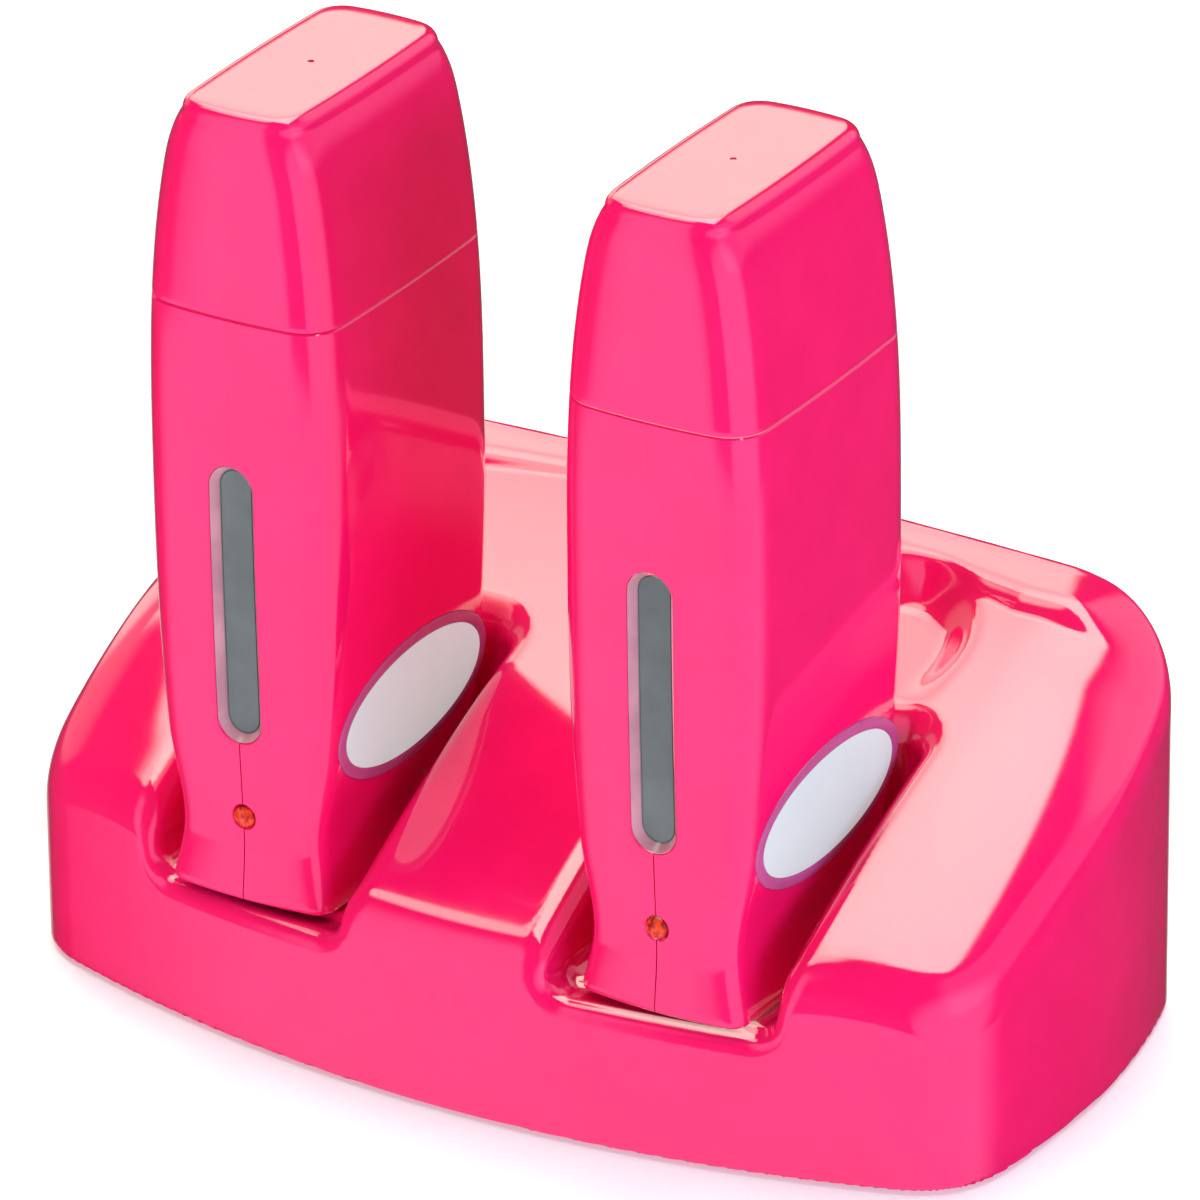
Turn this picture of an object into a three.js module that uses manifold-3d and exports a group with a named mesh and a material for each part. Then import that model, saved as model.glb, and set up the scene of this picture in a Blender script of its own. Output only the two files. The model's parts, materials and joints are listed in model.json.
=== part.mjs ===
// Double roll-on wax heater: two cartridge handsets standing in a wedge-shaped dock base.
// Millimetres, +Z up, +X to the right along the base, the front faces -Y.
// The origin is the bottom centre of the base, on the surface that its feet stand on.

import * as THREE from 'three';
import { mergeVertices } from 'three/addons/utils/BufferGeometryUtils.js';
import Module from 'manifold-3d';

const wasm = await Module();
wasm.setup();

// Clearance between pieces that touch
const gap = 0.3;

// How far a cutting shape passes the face that it opens, the wall that it crosses and the whole heater
const overrun = 1;
const wallOverrun = 10;
const farBeyond = 30;
const sliver = 0.002;

// Base outline, seen from above: four large arcs joined by tangent corners
const baseHalfLength = 134;
const baseWidestY = -8;
const baseSideRadius = 225;
const baseFrontY = -76;
const baseFrontRadius = 360;
const baseFrontCorner = 27;
const baseRearY = 76;
const baseRearRadius = 1500;
const baseRearCorner = 30;

// Base section, seen from the side
const baseClearance = 1;
const baseWall = 2.5;
const slopeStartY = -68;
const slopeStartZ = 50;
const slopeTangent = 0.572;
const slopeEasing = 0.00146;
const ridgeDepth = 14.5;
const ridgeRampLength = 6;
const ridgeRise = 3.2;
const shoulderWidth = 40;
const shoulderDrop = 25;
const frontEdgeRadius = 6;
const rearEdgeRadius = 2.5;

// Handset, measured from the underside of its foot
const handsetSpacing = 113;
const handsetY = -32;
const handsetHeight = 202;
const seamHeight = 151.5;
const shellWall = 2.2;
const capWall = 2;
const capTopWall = 2.6;
const frontBow = 2;
const sideBow = 1;
const footSection = { halfWidth: 23.2, halfDepth: 38.2, corner: 5 };
const waistHeight = 16;
const waistSection = { halfWidth: 20.6, halfDepth: 36.8, corner: 5.5 };
const hipHeight = 40;
const hipSection = { halfWidth: 23.9, halfDepth: 37.8, corner: 6.5 };
const bellyHeight = 104;
const bellySection = { halfWidth: 27, halfDepth: 39, corner: 10 };
const shoulderSection = { halfWidth: 22.1, halfDepth: 37.4, corner: 9.5 };
const shoulderBelowTop = 17;
const brimSection = { halfWidth: 16.8, halfDepth: 34.8, corner: 8.5 };
const brimBelowTop = 2;
const topSection = { halfWidth: 15.2, halfDepth: 31.8, corner: 7 };

// Dock slot that a handset stands in
const slotSideClearance = 1.5;
const slotRearClearance = 3;
const slotFloorZ = 35;
const slotRearCorner = 8;
const slotEdgeRadius = 6;

// Arched well behind the right-hand dock
const wellHalfWidth = 30.5;
const wellSlotDistance = 3;
const wellStraight = 11;
const wellArch = 35.5;
const wellFrontCorner = 7;
const wellRearDepth = 15.6;
const wellFloorRadius = 8;

// Plinth under each handset, with its spring contacts
const plinthHeight = 3;
const plinthHalfWidth = 15;
const plinthHalfDepth = 26;
const plinthCorner = 4;
const plinthFlange = 3;
const plinthFlangeThickness = 2.6;
const plinthBodyDepth = 9;
const contactSpacing = 20;
const contactPinRadius = 1.5;
const contactPadRadius = 4;
const contactPadThickness = 1.2;

// Cartridge chamber inside a handset, sized for a 100 ml roll-on cartridge
const chamberHalfWidth = 17;
const chamberHalfDepth = 28.5;
const chamberCorner = 6;
const chamberWall = 1.5;
const chamberFloorHeight = 48;
const chamberLip = 1.9;
const chamberLipThickness = 1.2;
const sightSlotWidth = 9;
const sightSlotRise = 4;

// Collar that holds the chamber and locates the cap
const collarRise = 6;
const collarWall = 1.6;
const collarShelfDrop = 3.5;
const collarShelfThickness = 2;
const collarSkirt = 6;

// Level window and indicator in the narrow front face
const windowWidth = 12;
const windowBottom = 42;
const windowTop = 114;
const windowFlange = 1.6;
const windowFlangeThickness = 1.2;
const indicatorHeight = 22;
const indicatorRadius = 2.8;
const indicatorProud = 0.9;
const indicatorFlange = 1;
const boardThickness = 1.6;
const boardHalfWidth = 12;
const boardHeight = 26;
const boardBehindShell = 5;

// Oval badge on the right-hand wide face, left bare
const badgeHeight = 43.5;
const badgeOffset = 1.6;
const badgeHalfDepth = 33;
const badgeHalfHeight = 17.6;
const badgeRimWidth = 3;
const badgeProud = 0.5;
const badgeRimRise = 0.2;
const badgeRecess = 0.7;

// Heating parts on the chamber
const heaterThickness = 2.4;
const heaterHalfDepth = 20;
const heaterBottom = 66;
const heaterTop = 128;
const thermostatRadius = 7;
const thermostatHeight = 6;
const fuseRadius = 2;
const fuseLength = 14;
const sensorSpacing = 24;

// Foot plate that closes a handset, and its screws
const footPlateThickness = 3.2;
const footBossRadius = 3.6;
const footBossHeight = 12;
const footBossInset = 7.4;

// Fasteners
const screwRadius = 1.3;
const screwHeadRadius = 2.6;
const screwHeadHeight = 1.8;
const footScrewLength = 9;
const baseScrewLength = 12;

// Bottom plate, feet and screw posts of the base
const plateThickness = 2.5;
const plateRecess = 2;
const postRadius = 4;
const postSideInset = 22;
const postFrontInset = 46;
const postRearInset = 31;
const rubberFootRadius = 8;
const rubberFootBevel = 0.8;
const rubberFootSideInset = 37;
const rubberFootFrontInset = 29;
const rubberFootRearInset = 24;

// Mains inlet in the rear wall, and the wiring inside the base
const inletHalfWidth = 12;
const inletHalfHeight = 8;
const inletZ = 30;
const inletDepth = 22;
const inletFlange = 2.5;
const inletFlangeThickness = 2.4;
const inletSocketWall = 2.5;
const inletSocketDepth = 14;
const inletPinRadius = 1.2;
const inletPinSpacing = 8.6;
const inletPinProud = 10;
const inletPinSet = 1;
const terminalHalfLength = 16;
const terminalHalfDepth = 8;
const terminalHeight = 14;
const terminalY = 26;
const leadRadius = 2;
const dockLeadBow = 8;

// Handset places
const sides = [
  { name: 'left', x: -handsetSpacing / 2 },
  { name: 'right', x: handsetSpacing / 2 },
];

const colours = {
  pinkGloss: { color: 0xff3377, roughness: 0.16, metalness: 0 },
  smokedWindow: { color: 0x7f8a8c, roughness: 0.2, metalness: 0.1 },
  lampRed: { color: 0xf0401e, roughness: 0.2, metalness: 0 },
  badgeSilver: { color: 0xd8dedc, roughness: 0.3, metalness: 0.2 },
  badgeMauve: { color: 0xb04a80, roughness: 0.35, metalness: 0 },
  blackPlastic: { color: 0x1d1d20, roughness: 0.6, metalness: 0 },
  rubberBlack: { color: 0x202022, roughness: 0.9, metalness: 0 },
  aluminium: { color: 0xb9bdc1, roughness: 0.4, metalness: 0.9 },
  ceramic: { color: 0xe9e4d8, roughness: 0.7, metalness: 0 },
  brass: { color: 0xc9a24a, roughness: 0.35, metalness: 0.9 },
  steel: { color: 0x9a9da2, roughness: 0.4, metalness: 0.9 },
  boardGreen: { color: 0x2c6b45, roughness: 0.6, metalness: 0 },
  leadGrey: { color: 0x8b8d92, roughness: 0.6, metalness: 0 },
};

// Solids: three.js geometry in, three.js geometry out

function toSolid(geometry) {
  const bare = geometry.clone();
  bare.deleteAttribute('normal');
  bare.deleteAttribute('uv');
  const merged = mergeVertices(bare, 1e-4);
  return new wasm.Manifold(new wasm.Mesh({
    numProp: 3,
    vertProperties: new Float32Array(merged.attributes.position.array),
    triVerts: new Uint32Array(merged.index.array),
  }));
}

function toGeometry(solid) {
  const mesh = solid.getMesh();
  const geometry = new THREE.BufferGeometry();
  geometry.setAttribute('position', new THREE.BufferAttribute(new Float32Array(mesh.vertProperties), 3));
  geometry.setIndex(new THREE.BufferAttribute(new Uint32Array(mesh.triVerts), 1));
  geometry.computeVertexNormals();
  return geometry;
}

function joinAll(solids) {
  return solids.reduce((whole, next) => whole.add(next));
}

function cutAll(solid, tools) {
  return tools.reduce((rest, tool) => rest.subtract(tool), solid);
}

// A closed body through rings of equally many points, wound counterclockwise about +axis
function loft(rings) {
  const count = rings[0].length;
  const positions = rings.flat().flatMap((p) => [p.x, p.y, p.z]);
  const index = [];
  for (let level = 0; level < rings.length - 1; level += 1) {
    for (let i = 0; i < count; i += 1) {
      const a = level * count + i;
      const b = level * count + ((i + 1) % count);
      index.push(a, b, b + count, a, b + count, a + count);
    }
  }
  const addCap = (level, flip) => {
    const outline = rings[level].map((p) => new THREE.Vector2(p.x, p.y));
    const flat = rings[level].every((p) => Math.abs(p.y - rings[level][0].y) < 1e-6);
    const plane = flat ? rings[level].map((p) => new THREE.Vector2(p.z, p.x)) : outline;
    for (const [a, b, c] of THREE.ShapeUtils.triangulateShape(plane, [])) {
      const face = [level * count + a, level * count + b, level * count + c];
      index.push(...(flip ? face.reverse() : face));
    }
  };
  addCap(0, true);
  addCap(rings.length - 1, false);
  const geometry = new THREE.BufferGeometry();
  geometry.setAttribute('position', new THREE.Float32BufferAttribute(positions, 3));
  geometry.setIndex(index);
  return toSolid(geometry);
}

// A flat outline raised from one height to another
function prism(outline, bottom, top) {
  const geometry = new THREE.ExtrudeGeometry(new THREE.Shape(outline), {
    depth: top - bottom,
    bevelEnabled: false,
    curveSegments: 8,
  });
  geometry.translate(0, 0, bottom);
  return toSolid(geometry);
}

function box(min, max) {
  const size = new THREE.Vector3().subVectors(max, min);
  const middle = new THREE.Vector3().addVectors(min, max).multiplyScalar(0.5);
  const geometry = new THREE.BoxGeometry(size.x, size.y, size.z);
  geometry.translate(middle.x, middle.y, middle.z);
  return toSolid(geometry);
}

function boxAbout(x, y, halfX, halfY, bottom, top) {
  return box(new THREE.Vector3(x - halfX, y - halfY, bottom), new THREE.Vector3(x + halfX, y + halfY, top));
}

function uprightCylinder(x, y, radius, bottom, top, sides = 16) {
  const geometry = new THREE.CylinderGeometry(radius, radius, top - bottom, sides);
  geometry.rotateX(Math.PI / 2);
  geometry.translate(x, y, (bottom + top) / 2);
  return toSolid(geometry);
}

function cylinderAlongY(x, z, radius, front, rear, sides = 16) {
  const geometry = new THREE.CylinderGeometry(radius, radius, rear - front, sides);
  geometry.translate(x, (front + rear) / 2, z);
  return toSolid(geometry);
}

function tubeAlong(points, radius) {
  const section = new THREE.Shape();
  section.absarc(0, 0, radius, 0, Math.PI * 2);
  const path = new THREE.CatmullRomCurve3(points);
  const geometry = new THREE.ExtrudeGeometry(section, {
    steps: 12,
    curveSegments: 4,
    bevelEnabled: false,
    extrudePath: path,
  });
  return toSolid(geometry);
}

// Outlines

// Centre of a corner of the given radius that lies inside two larger circles and touches both
function cornerCentre(side, end, corner) {
  const sideReach = side.radius - corner;
  const endReach = end.radius - corner;
  const dx = end.x - side.x;
  const dy = end.y - side.y;
  const distance = Math.hypot(dx, dy);
  const along = (sideReach ** 2 - endReach ** 2 + distance ** 2) / (2 * distance);
  const across = Math.sqrt(Math.max(sideReach ** 2 - along ** 2, 0));
  const ux = dx / distance;
  const uy = dy / distance;
  const candidates = [1, -1].map((sign) => new THREE.Vector2(
    side.x + ux * along - sign * uy * across,
    side.y + uy * along + sign * ux * across,
  ));
  return candidates[0].x > candidates[1].x ? candidates[0] : candidates[1];
}

// A quarter of a bowed outline, from its widest point to the middle of its +Y end
function quarterOutline(side, end, corner, inset, steps) {
  const centre = cornerCentre(side, end, corner);
  const first = Math.atan2(centre.y - side.y, centre.x - side.x);
  const second = Math.atan2(centre.y - end.y, centre.x - end.x);
  const points = [];
  const arc = (middle, radius, from, to, count, skipFirst) => {
    for (let i = skipFirst ? 1 : 0; i <= count; i += 1) {
      const angle = from + ((to - from) * i) / count;
      const reach = radius - inset;
      points.push(new THREE.Vector2(middle.x + reach * Math.cos(angle), middle.y + reach * Math.sin(angle)));
    }
  };
  arc(side, side.radius, 0, first, steps.side, false);
  arc(centre, corner, first, second, steps.corner, true);
  arc(end, end.radius, second, Math.PI / 2, steps.end, true);
  return points;
}

// A whole outline, counterclockwise, from its two right-hand quarters
function mirroredOutline(rearQuarter, frontQuarter) {
  const rightRear = rearQuarter;
  const leftRear = rearQuarter.slice(1, -1).reverse().map((p) => new THREE.Vector2(-p.x, p.y));
  const left = new THREE.Vector2(-rearQuarter[0].x, rearQuarter[0].y);
  const leftFront = frontQuarter.slice(1, -1).map((p) => new THREE.Vector2(-p.x, -p.y));
  const frontMiddle = new THREE.Vector2(0, -frontQuarter[frontQuarter.length - 1].y);
  const rightFront = frontQuarter.slice(1, -1).reverse().map((p) => new THREE.Vector2(p.x, -p.y));
  return [...rightRear, ...leftRear, left, ...leftFront, frontMiddle, ...rightFront];
}

const baseSteps = { side: 4, corner: 7, end: 6 };

function baseOutline(inset) {
  const rear = quarterOutline(
    { x: baseHalfLength - baseSideRadius, y: baseWidestY, radius: baseSideRadius },
    { x: 0, y: baseRearY - baseRearRadius, radius: baseRearRadius },
    baseRearCorner,
    inset,
    baseSteps,
  );
  const front = quarterOutline(
    { x: baseHalfLength - baseSideRadius, y: -baseWidestY, radius: baseSideRadius },
    { x: 0, y: -baseFrontY - baseFrontRadius, radius: baseFrontRadius },
    baseFrontCorner,
    inset,
    baseSteps,
  );
  return mirroredOutline(rear, front);
}

// Half the base's length at a given depth, without its corners
function baseHalfLengthAt(y) {
  const away = y - baseWidestY;
  return baseHalfLength - baseSideRadius + Math.sqrt(baseSideRadius ** 2 - away ** 2);
}

// Height of the base's top along its middle: a slope that eases, a short ramp and a flat ridge
const ridgeFrontY = baseRearY - ridgeDepth;
const rampFrontY = ridgeFrontY - ridgeRampLength;

function slopeZ(y) {
  const along = y - slopeStartY;
  return slopeStartZ + slopeTangent * along - slopeEasing * along ** 2;
}

const ridgeZ = slopeZ(rampFrontY) + ridgeRise;

function topZ(y) {
  if (y <= rampFrontY) return slopeZ(y);
  if (y >= ridgeFrontY) return ridgeZ;
  const share = (y - rampFrontY) / ridgeRampLength;
  return slopeZ(rampFrontY) + ridgeRise * share ** 2 * (3 - 2 * share);
}

const slopeStations = [0, 0.1, 0.25, 0.42, 0.6, 0.8, 1];
const rampStations = [0.3, 0.5, 0.7, 1];
const stationOverrun = 5;

function baseStations() {
  const front = baseFrontY - stationOverrun;
  const slope = slopeStations.map((share) => front + (rampFrontY - front) * share);
  const ramp = rampStations.map((share) => rampFrontY + ridgeRampLength * share);
  return [...slope, ...ramp, baseRearY + stationOverrun];
}

// The base's top with its round shoulders, longer and deeper than its outline
function slopeBlock(inset, bottom) {
  const shoulderSteps = 7;
  const rings = baseStations().map((y) => {
    const half = baseHalfLengthAt(THREE.MathUtils.clamp(y, baseFrontY, baseRearY)) - inset;
    const top = topZ(y) - inset;
    const right = [];
    for (let i = 0; i <= shoulderSteps; i += 1) {
      const angle = (Math.PI / 2) * (i / shoulderSteps);
      right.push(new THREE.Vector3(
        half - shoulderWidth + shoulderWidth * Math.cos(angle),
        y,
        top - shoulderDrop + shoulderDrop * Math.sin(angle),
      ));
    }
    const left = right.slice().reverse().map((p) => new THREE.Vector3(-p.x, p.y, p.z));
    const rightFoot = new THREE.Vector3(half, y, bottom);
    const leftFoot = new THREE.Vector3(-half, y, bottom);
    return [rightFoot, ...right, ...left, leftFoot].reverse();
  });
  return loft(rings);
}

// The base's outline as a solid with a rounded rim, drawn in by the inset, open upwards beyond the rim
const rimShares = [0, 0.1, 0.35, 0.7, 0.93];
const leastEdgeRadius = 0.5;

function rimBlock(inset, bottom) {
  const outer = baseOutline(inset);
  const inner = baseOutline(inset + frontEdgeRadius);
  const ringAt = (share, height) => outer.map((p, i) => {
    const radius = Math.max((p.y < 0 ? frontEdgeRadius : rearEdgeRadius) - inset, leastEdgeRadius);
    const part = (share * radius) / frontEdgeRadius;
    const x = p.x + (inner[i].x - p.x) * part;
    const y = p.y + (inner[i].y - p.y) * part;
    return new THREE.Vector3(x, y, height(y, radius, share));
  });
  const roundRise = (y, radius, share) => (
    topZ(y) - inset - radius + radius * Math.sqrt(1 - (1 - share) ** 2)
  );
  return loft([
    ringAt(0, () => bottom),
    ...rimShares.map((share) => ringAt(share, roundRise)),
    ringAt(0.95, () => ridgeZ + farBeyond),
  ]);
}

// Dock slots

const slotHalfWidth = bellySection.halfWidth + slotSideClearance;
const slotRearY = handsetY + bellySection.halfDepth + slotRearClearance;

function slotBlock(centreX, grow) {
  const rear = slotRearY + grow;
  const corner = slotRearCorner + grow;
  const cornerStations = [0, 0.4, 0.7, 0.9, 1].map((share) => rear - corner + corner * share);
  const slopeShares = [0, 0.4, 0.7].map((share) => slopeStartY + (rear - corner - slopeStartY) * share);
  const slopePart = [baseFrontY - farBeyond, baseFrontY, ...slopeShares];
  const edge = grow > 0 ? 0 : slotEdgeRadius;
  const edgeSteps = 4;
  const rings = [...slopePart, ...cornerStations].map((y) => {
    const intoCorner = Math.max(y - (rear - corner), 0);
    const half = slotHalfWidth + grow - corner + Math.sqrt(Math.max(corner ** 2 - intoCorner ** 2, 0));
    const right = [new THREE.Vector3(half, y, slotFloorZ - grow)];
    for (let i = 0; i <= edgeSteps; i += 1) {
      const angle = (Math.PI / 2) * (i / edgeSteps);
      right.push(new THREE.Vector3(
        half + edge * (1 - Math.cos(angle)) + sliver * i,
        y,
        topZ(y) - edge + edge * Math.sin(angle) + sliver * i,
      ));
    }
    right.push(new THREE.Vector3(half + edge + sliver * (edgeSteps + 1), y, ridgeZ + farBeyond));
    const left = right.slice().reverse().map((p) => new THREE.Vector3(-p.x, p.y, p.z));
    return [...right, ...left].reverse().map((p) => new THREE.Vector3(p.x + centreX, p.y, p.z));
  });
  return loft(rings);
}

// Arched well

const wellX = sides[1].x;
const wellFrontY = slotRearY + wellSlotDistance;
const wellFloorZ = ridgeZ - wellRearDepth;

function wellOutline(inset) {
  const half = wellHalfWidth - inset;
  const shape = new THREE.Shape();
  const front = wellFrontY + inset;
  const corner = Math.max(wellFrontCorner - inset, 1);
  const archY = wellFrontY + wellStraight;
  shape.moveTo(-half + corner, front);
  shape.lineTo(half - corner, front);
  shape.absarc(half - corner, front + corner, corner, -Math.PI / 2, 0);
  shape.absellipse(0, archY, half, wellArch - inset, 0, Math.PI);
  shape.absarc(-half + corner, front + corner, corner, Math.PI, Math.PI * 1.5);
  const points = shape.getSpacedPoints(36);
  points.pop();
  return points.map((p) => new THREE.Vector2(p.x + wellX, p.y));
}

function wellBlock(grow) {
  const levels = [
    { inset: wellFloorRadius, z: wellFloorZ },
    { inset: wellFloorRadius * 0.5, z: wellFloorZ + wellFloorRadius * 0.13 },
    { inset: wellFloorRadius * 0.13, z: wellFloorZ + wellFloorRadius * 0.5 },
    { inset: 0, z: wellFloorZ + wellFloorRadius },
    { inset: 0, z: ridgeZ + farBeyond },
  ];
  const rings = levels.map(({ inset, z }, i) => {
    const height = i === 0 || i === 1 ? z - grow : z;
    return wellOutline(inset - grow).map((p) => new THREE.Vector3(p.x, p.y, height));
  });
  return loft(rings);
}

// Base pieces

const plateBottom = baseClearance + plateRecess;
const plateTop = plateBottom + plateThickness;

// Places near the four corners of the base, drawn in from its sides, its front and its rear
function cornerPlaces(sideInset, frontInset, rearInset) {
  const x = baseHalfLength - sideInset;
  const front = baseFrontY + frontInset;
  const rear = baseRearY - rearInset;
  return [
    { name: 'front_left', x: -x, y: front },
    { name: 'front_right', x, y: front },
    { name: 'rear_left', x: -x, y: rear },
    { name: 'rear_right', x, y: rear },
  ];
}

const postPlaces = cornerPlaces(postSideInset, postFrontInset, postRearInset);
const footPlaces = cornerPlaces(rubberFootSideInset, rubberFootFrontInset, rubberFootRearInset);
const plinthHoleHalfWidth = plinthHalfWidth + gap;
const plinthHoleHalfDepth = plinthHalfDepth + gap;

function roundedRectangle(x, y, halfX, halfY, corner) {
  const shape = new THREE.Shape();
  shape.absarc(x + halfX - corner, y + halfY - corner, corner, 0, Math.PI / 2);
  shape.absarc(x - halfX + corner, y + halfY - corner, corner, Math.PI / 2, Math.PI);
  shape.absarc(x - halfX + corner, y - halfY + corner, corner, Math.PI, Math.PI * 1.5);
  shape.absarc(x + halfX - corner, y - halfY + corner, corner, Math.PI * 1.5, Math.PI * 2);
  return shape.getPoints(3);
}

function baseShell() {
  const below = -wallOverrun;
  const outer = slopeBlock(0, below).intersect(rimBlock(0, baseClearance));
  const room = slopeBlock(baseWall, below).intersect(rimBlock(baseWall, below + overrun));
  const posts = postPlaces.map(({ x, y }) => uprightCylinder(x, y, postRadius, plateTop + gap, ridgeZ, 14));
  const walledRoom = cutAll(room, [
    slotBlock(sides[0].x, baseWall),
    slotBlock(sides[1].x, baseWall),
    wellBlock(baseWall),
    ...posts,
  ]);
  const plinthHoles = sides.map(({ x }) => prism(
    roundedRectangle(x, handsetY, plinthHoleHalfWidth, plinthHoleHalfDepth, plinthCorner + gap),
    slotFloorZ - baseWall - overrun,
    slotFloorZ + overrun,
  ));
  const screwHoles = postPlaces.map(({ x, y }) => uprightCylinder(
    x,
    y,
    screwRadius + gap,
    below,
    plateBottom + baseScrewLength + gap,
    10,
  ));
  const inletHole = box(
    new THREE.Vector3(-inletHalfWidth - gap, baseRearY - wallOverrun, inletZ - inletHalfHeight - gap),
    new THREE.Vector3(inletHalfWidth + gap, baseRearY + wallOverrun, inletZ + inletHalfHeight + gap),
  );
  return cutAll(outer, [
    slotBlock(sides[0].x, 0),
    slotBlock(sides[1].x, 0),
    wellBlock(0),
    walledRoom,
    ...plinthHoles,
    ...screwHoles,
    inletHole,
  ]);
}

function basePlate() {
  const inset = baseWall + gap;
  const plate = slopeBlock(inset, plateBottom - overrun)
    .intersect(prism(baseOutline(inset), plateBottom, plateTop));
  const holes = postPlaces.map(({ x, y }) => uprightCylinder(
    x,
    y,
    screwRadius + gap,
    plateBottom - overrun,
    plateTop + overrun,
    10,
  ));
  return cutAll(plate, holes);
}

function rubberFoot(x, y) {
  const profile = [
    new THREE.Vector2(0, 0),
    new THREE.Vector2(rubberFootRadius - rubberFootBevel, 0),
    new THREE.Vector2(rubberFootRadius, rubberFootBevel),
    new THREE.Vector2(rubberFootRadius, plateBottom - gap),
    new THREE.Vector2(0, plateBottom - gap),
  ];
  const geometry = new THREE.LatheGeometry(profile, 16);
  geometry.rotateX(Math.PI / 2);
  geometry.translate(x, y, 0);
  return toSolid(geometry);
}

// A pan-head screw driven upwards, its head seated under the given height
function screwUp(x, y, seatZ, length) {
  const profile = [
    new THREE.Vector2(0, -screwHeadHeight),
    new THREE.Vector2(screwHeadRadius * 0.8, -screwHeadHeight),
    new THREE.Vector2(screwHeadRadius, -screwHeadHeight * 0.5),
    new THREE.Vector2(screwHeadRadius, 0),
    new THREE.Vector2(screwRadius, 0),
    new THREE.Vector2(screwRadius, length - screwRadius),
    new THREE.Vector2(0, length),
  ];
  const geometry = new THREE.LatheGeometry(profile, 10);
  geometry.rotateX(Math.PI / 2);
  geometry.translate(x, y, seatZ);
  return toSolid(geometry);
}

const plinthTopZ = slotFloorZ + plinthHeight - gap;
const plinthFlangeTop = slotFloorZ - baseWall - gap;
const plinthFlangeBottom = plinthFlangeTop - plinthFlangeThickness;
const plinthBottom = plinthFlangeBottom - plinthBodyDepth;

function contactPlaces(x) {
  return [-contactSpacing / 2, contactSpacing / 2].map((along) => ({ x, y: handsetY + along }));
}

function dockBlock(x) {
  const column = prism(
    roundedRectangle(x, handsetY, plinthHalfWidth, plinthHalfDepth, plinthCorner),
    plinthBottom,
    plinthTopZ,
  );
  const flange = boxAbout(
    x,
    handsetY,
    plinthHalfWidth + plinthFlange,
    plinthHalfDepth + plinthFlange,
    plinthFlangeBottom,
    plinthFlangeTop,
  );
  const bores = contactPlaces(x).map((place) => uprightCylinder(
    place.x,
    place.y,
    contactPinRadius + gap,
    plinthFlangeBottom,
    plinthTopZ + overrun,
    12,
  ));
  return cutAll(column.add(flange), bores);
}

function dockPin(x, y) {
  const top = slotFloorZ + plinthHeight + footPlateThickness;
  return uprightCylinder(x, y, contactPinRadius, plinthFlangeBottom + gap, top, 10);
}

// Mains inlet: a body through the rear wall, with a flange inside and a socket towards the rear
function rearWallY(x) {
  return baseRearY - baseRearRadius + Math.sqrt(baseRearRadius ** 2 - x ** 2);
}

const inletRearY = rearWallY(inletHalfWidth);
const inletFrontY = inletRearY - inletDepth;
const inletSocketFloorY = inletRearY - inletSocketDepth;

function mainsInlet() {
  const body = box(
    new THREE.Vector3(-inletHalfWidth, inletFrontY, inletZ - inletHalfHeight),
    new THREE.Vector3(inletHalfWidth, inletRearY, inletZ + inletHalfHeight),
  );
  const flangeRear = rearWallY(inletHalfWidth + inletFlange) - baseWall - gap;
  const flange = box(
    new THREE.Vector3(
      -inletHalfWidth - inletFlange,
      flangeRear - inletFlangeThickness,
      inletZ - inletHalfHeight - inletFlange,
    ),
    new THREE.Vector3(inletHalfWidth + inletFlange, flangeRear, inletZ + inletHalfHeight + inletFlange),
  );
  const socket = box(
    new THREE.Vector3(
      -inletHalfWidth + inletSocketWall,
      inletSocketFloorY,
      inletZ - inletHalfHeight + inletSocketWall,
    ),
    new THREE.Vector3(
      inletHalfWidth - inletSocketWall,
      inletRearY + overrun,
      inletZ + inletHalfHeight - inletSocketWall,
    ),
  );
  const bores = inletPinXs().map((x) => cylinderAlongY(
    x,
    inletZ,
    inletPinRadius + gap,
    inletFrontY - overrun,
    inletSocketFloorY + overrun,
    10,
  ));
  return cutAll(body.add(flange), [socket, ...bores]);
}

function inletPinXs() {
  return [-inletPinSpacing / 2, inletPinSpacing / 2];
}

function inletPin(x) {
  const front = inletFrontY + inletPinSet;
  return cylinderAlongY(x, inletZ, inletPinRadius, front, inletSocketFloorY + inletPinProud, 10);
}

const terminalBottom = plateTop + gap;

function terminalBlock() {
  return boxAbout(
    0,
    terminalY,
    terminalHalfLength,
    terminalHalfDepth,
    terminalBottom,
    terminalBottom + terminalHeight,
  );
}

function dockLead(side) {
  const sign = Math.sign(side.x);
  const startZ = terminalBottom + terminalHeight / 2;
  const start = new THREE.Vector3(sign * (terminalHalfLength + gap), terminalY, startZ);
  const end = new THREE.Vector3(side.x, handsetY + plinthHalfDepth / 2, plinthBottom - gap);
  return tubeAlong([
    start,
    new THREE.Vector3(start.x + sign * dockLeadBow, start.y, startZ - leadRadius / 2),
    new THREE.Vector3(
      (start.x + end.x) / 2 + sign * dockLeadBow,
      (start.y + end.y) / 2 + dockLeadBow * 0.75,
      plateTop + leadRadius * 2,
    ),
    new THREE.Vector3(end.x, end.y + leadRadius / 2, plateTop + leadRadius * 3),
    end,
  ], leadRadius);
}

function inletLead() {
  const startZ = inletZ;
  const start = new THREE.Vector3(0, inletFrontY - gap, startZ);
  const end = new THREE.Vector3(0, terminalY + terminalHalfDepth + gap, terminalBottom + terminalHeight / 2);
  return tubeAlong([
    start,
    new THREE.Vector3(0, start.y - leadRadius * 2, startZ),
    new THREE.Vector3(0, (start.y + end.y) / 2, (startZ + end.z) / 2),
    new THREE.Vector3(0, end.y + leadRadius * 2, end.z),
    end,
  ], leadRadius);
}

// Handset sections

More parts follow.
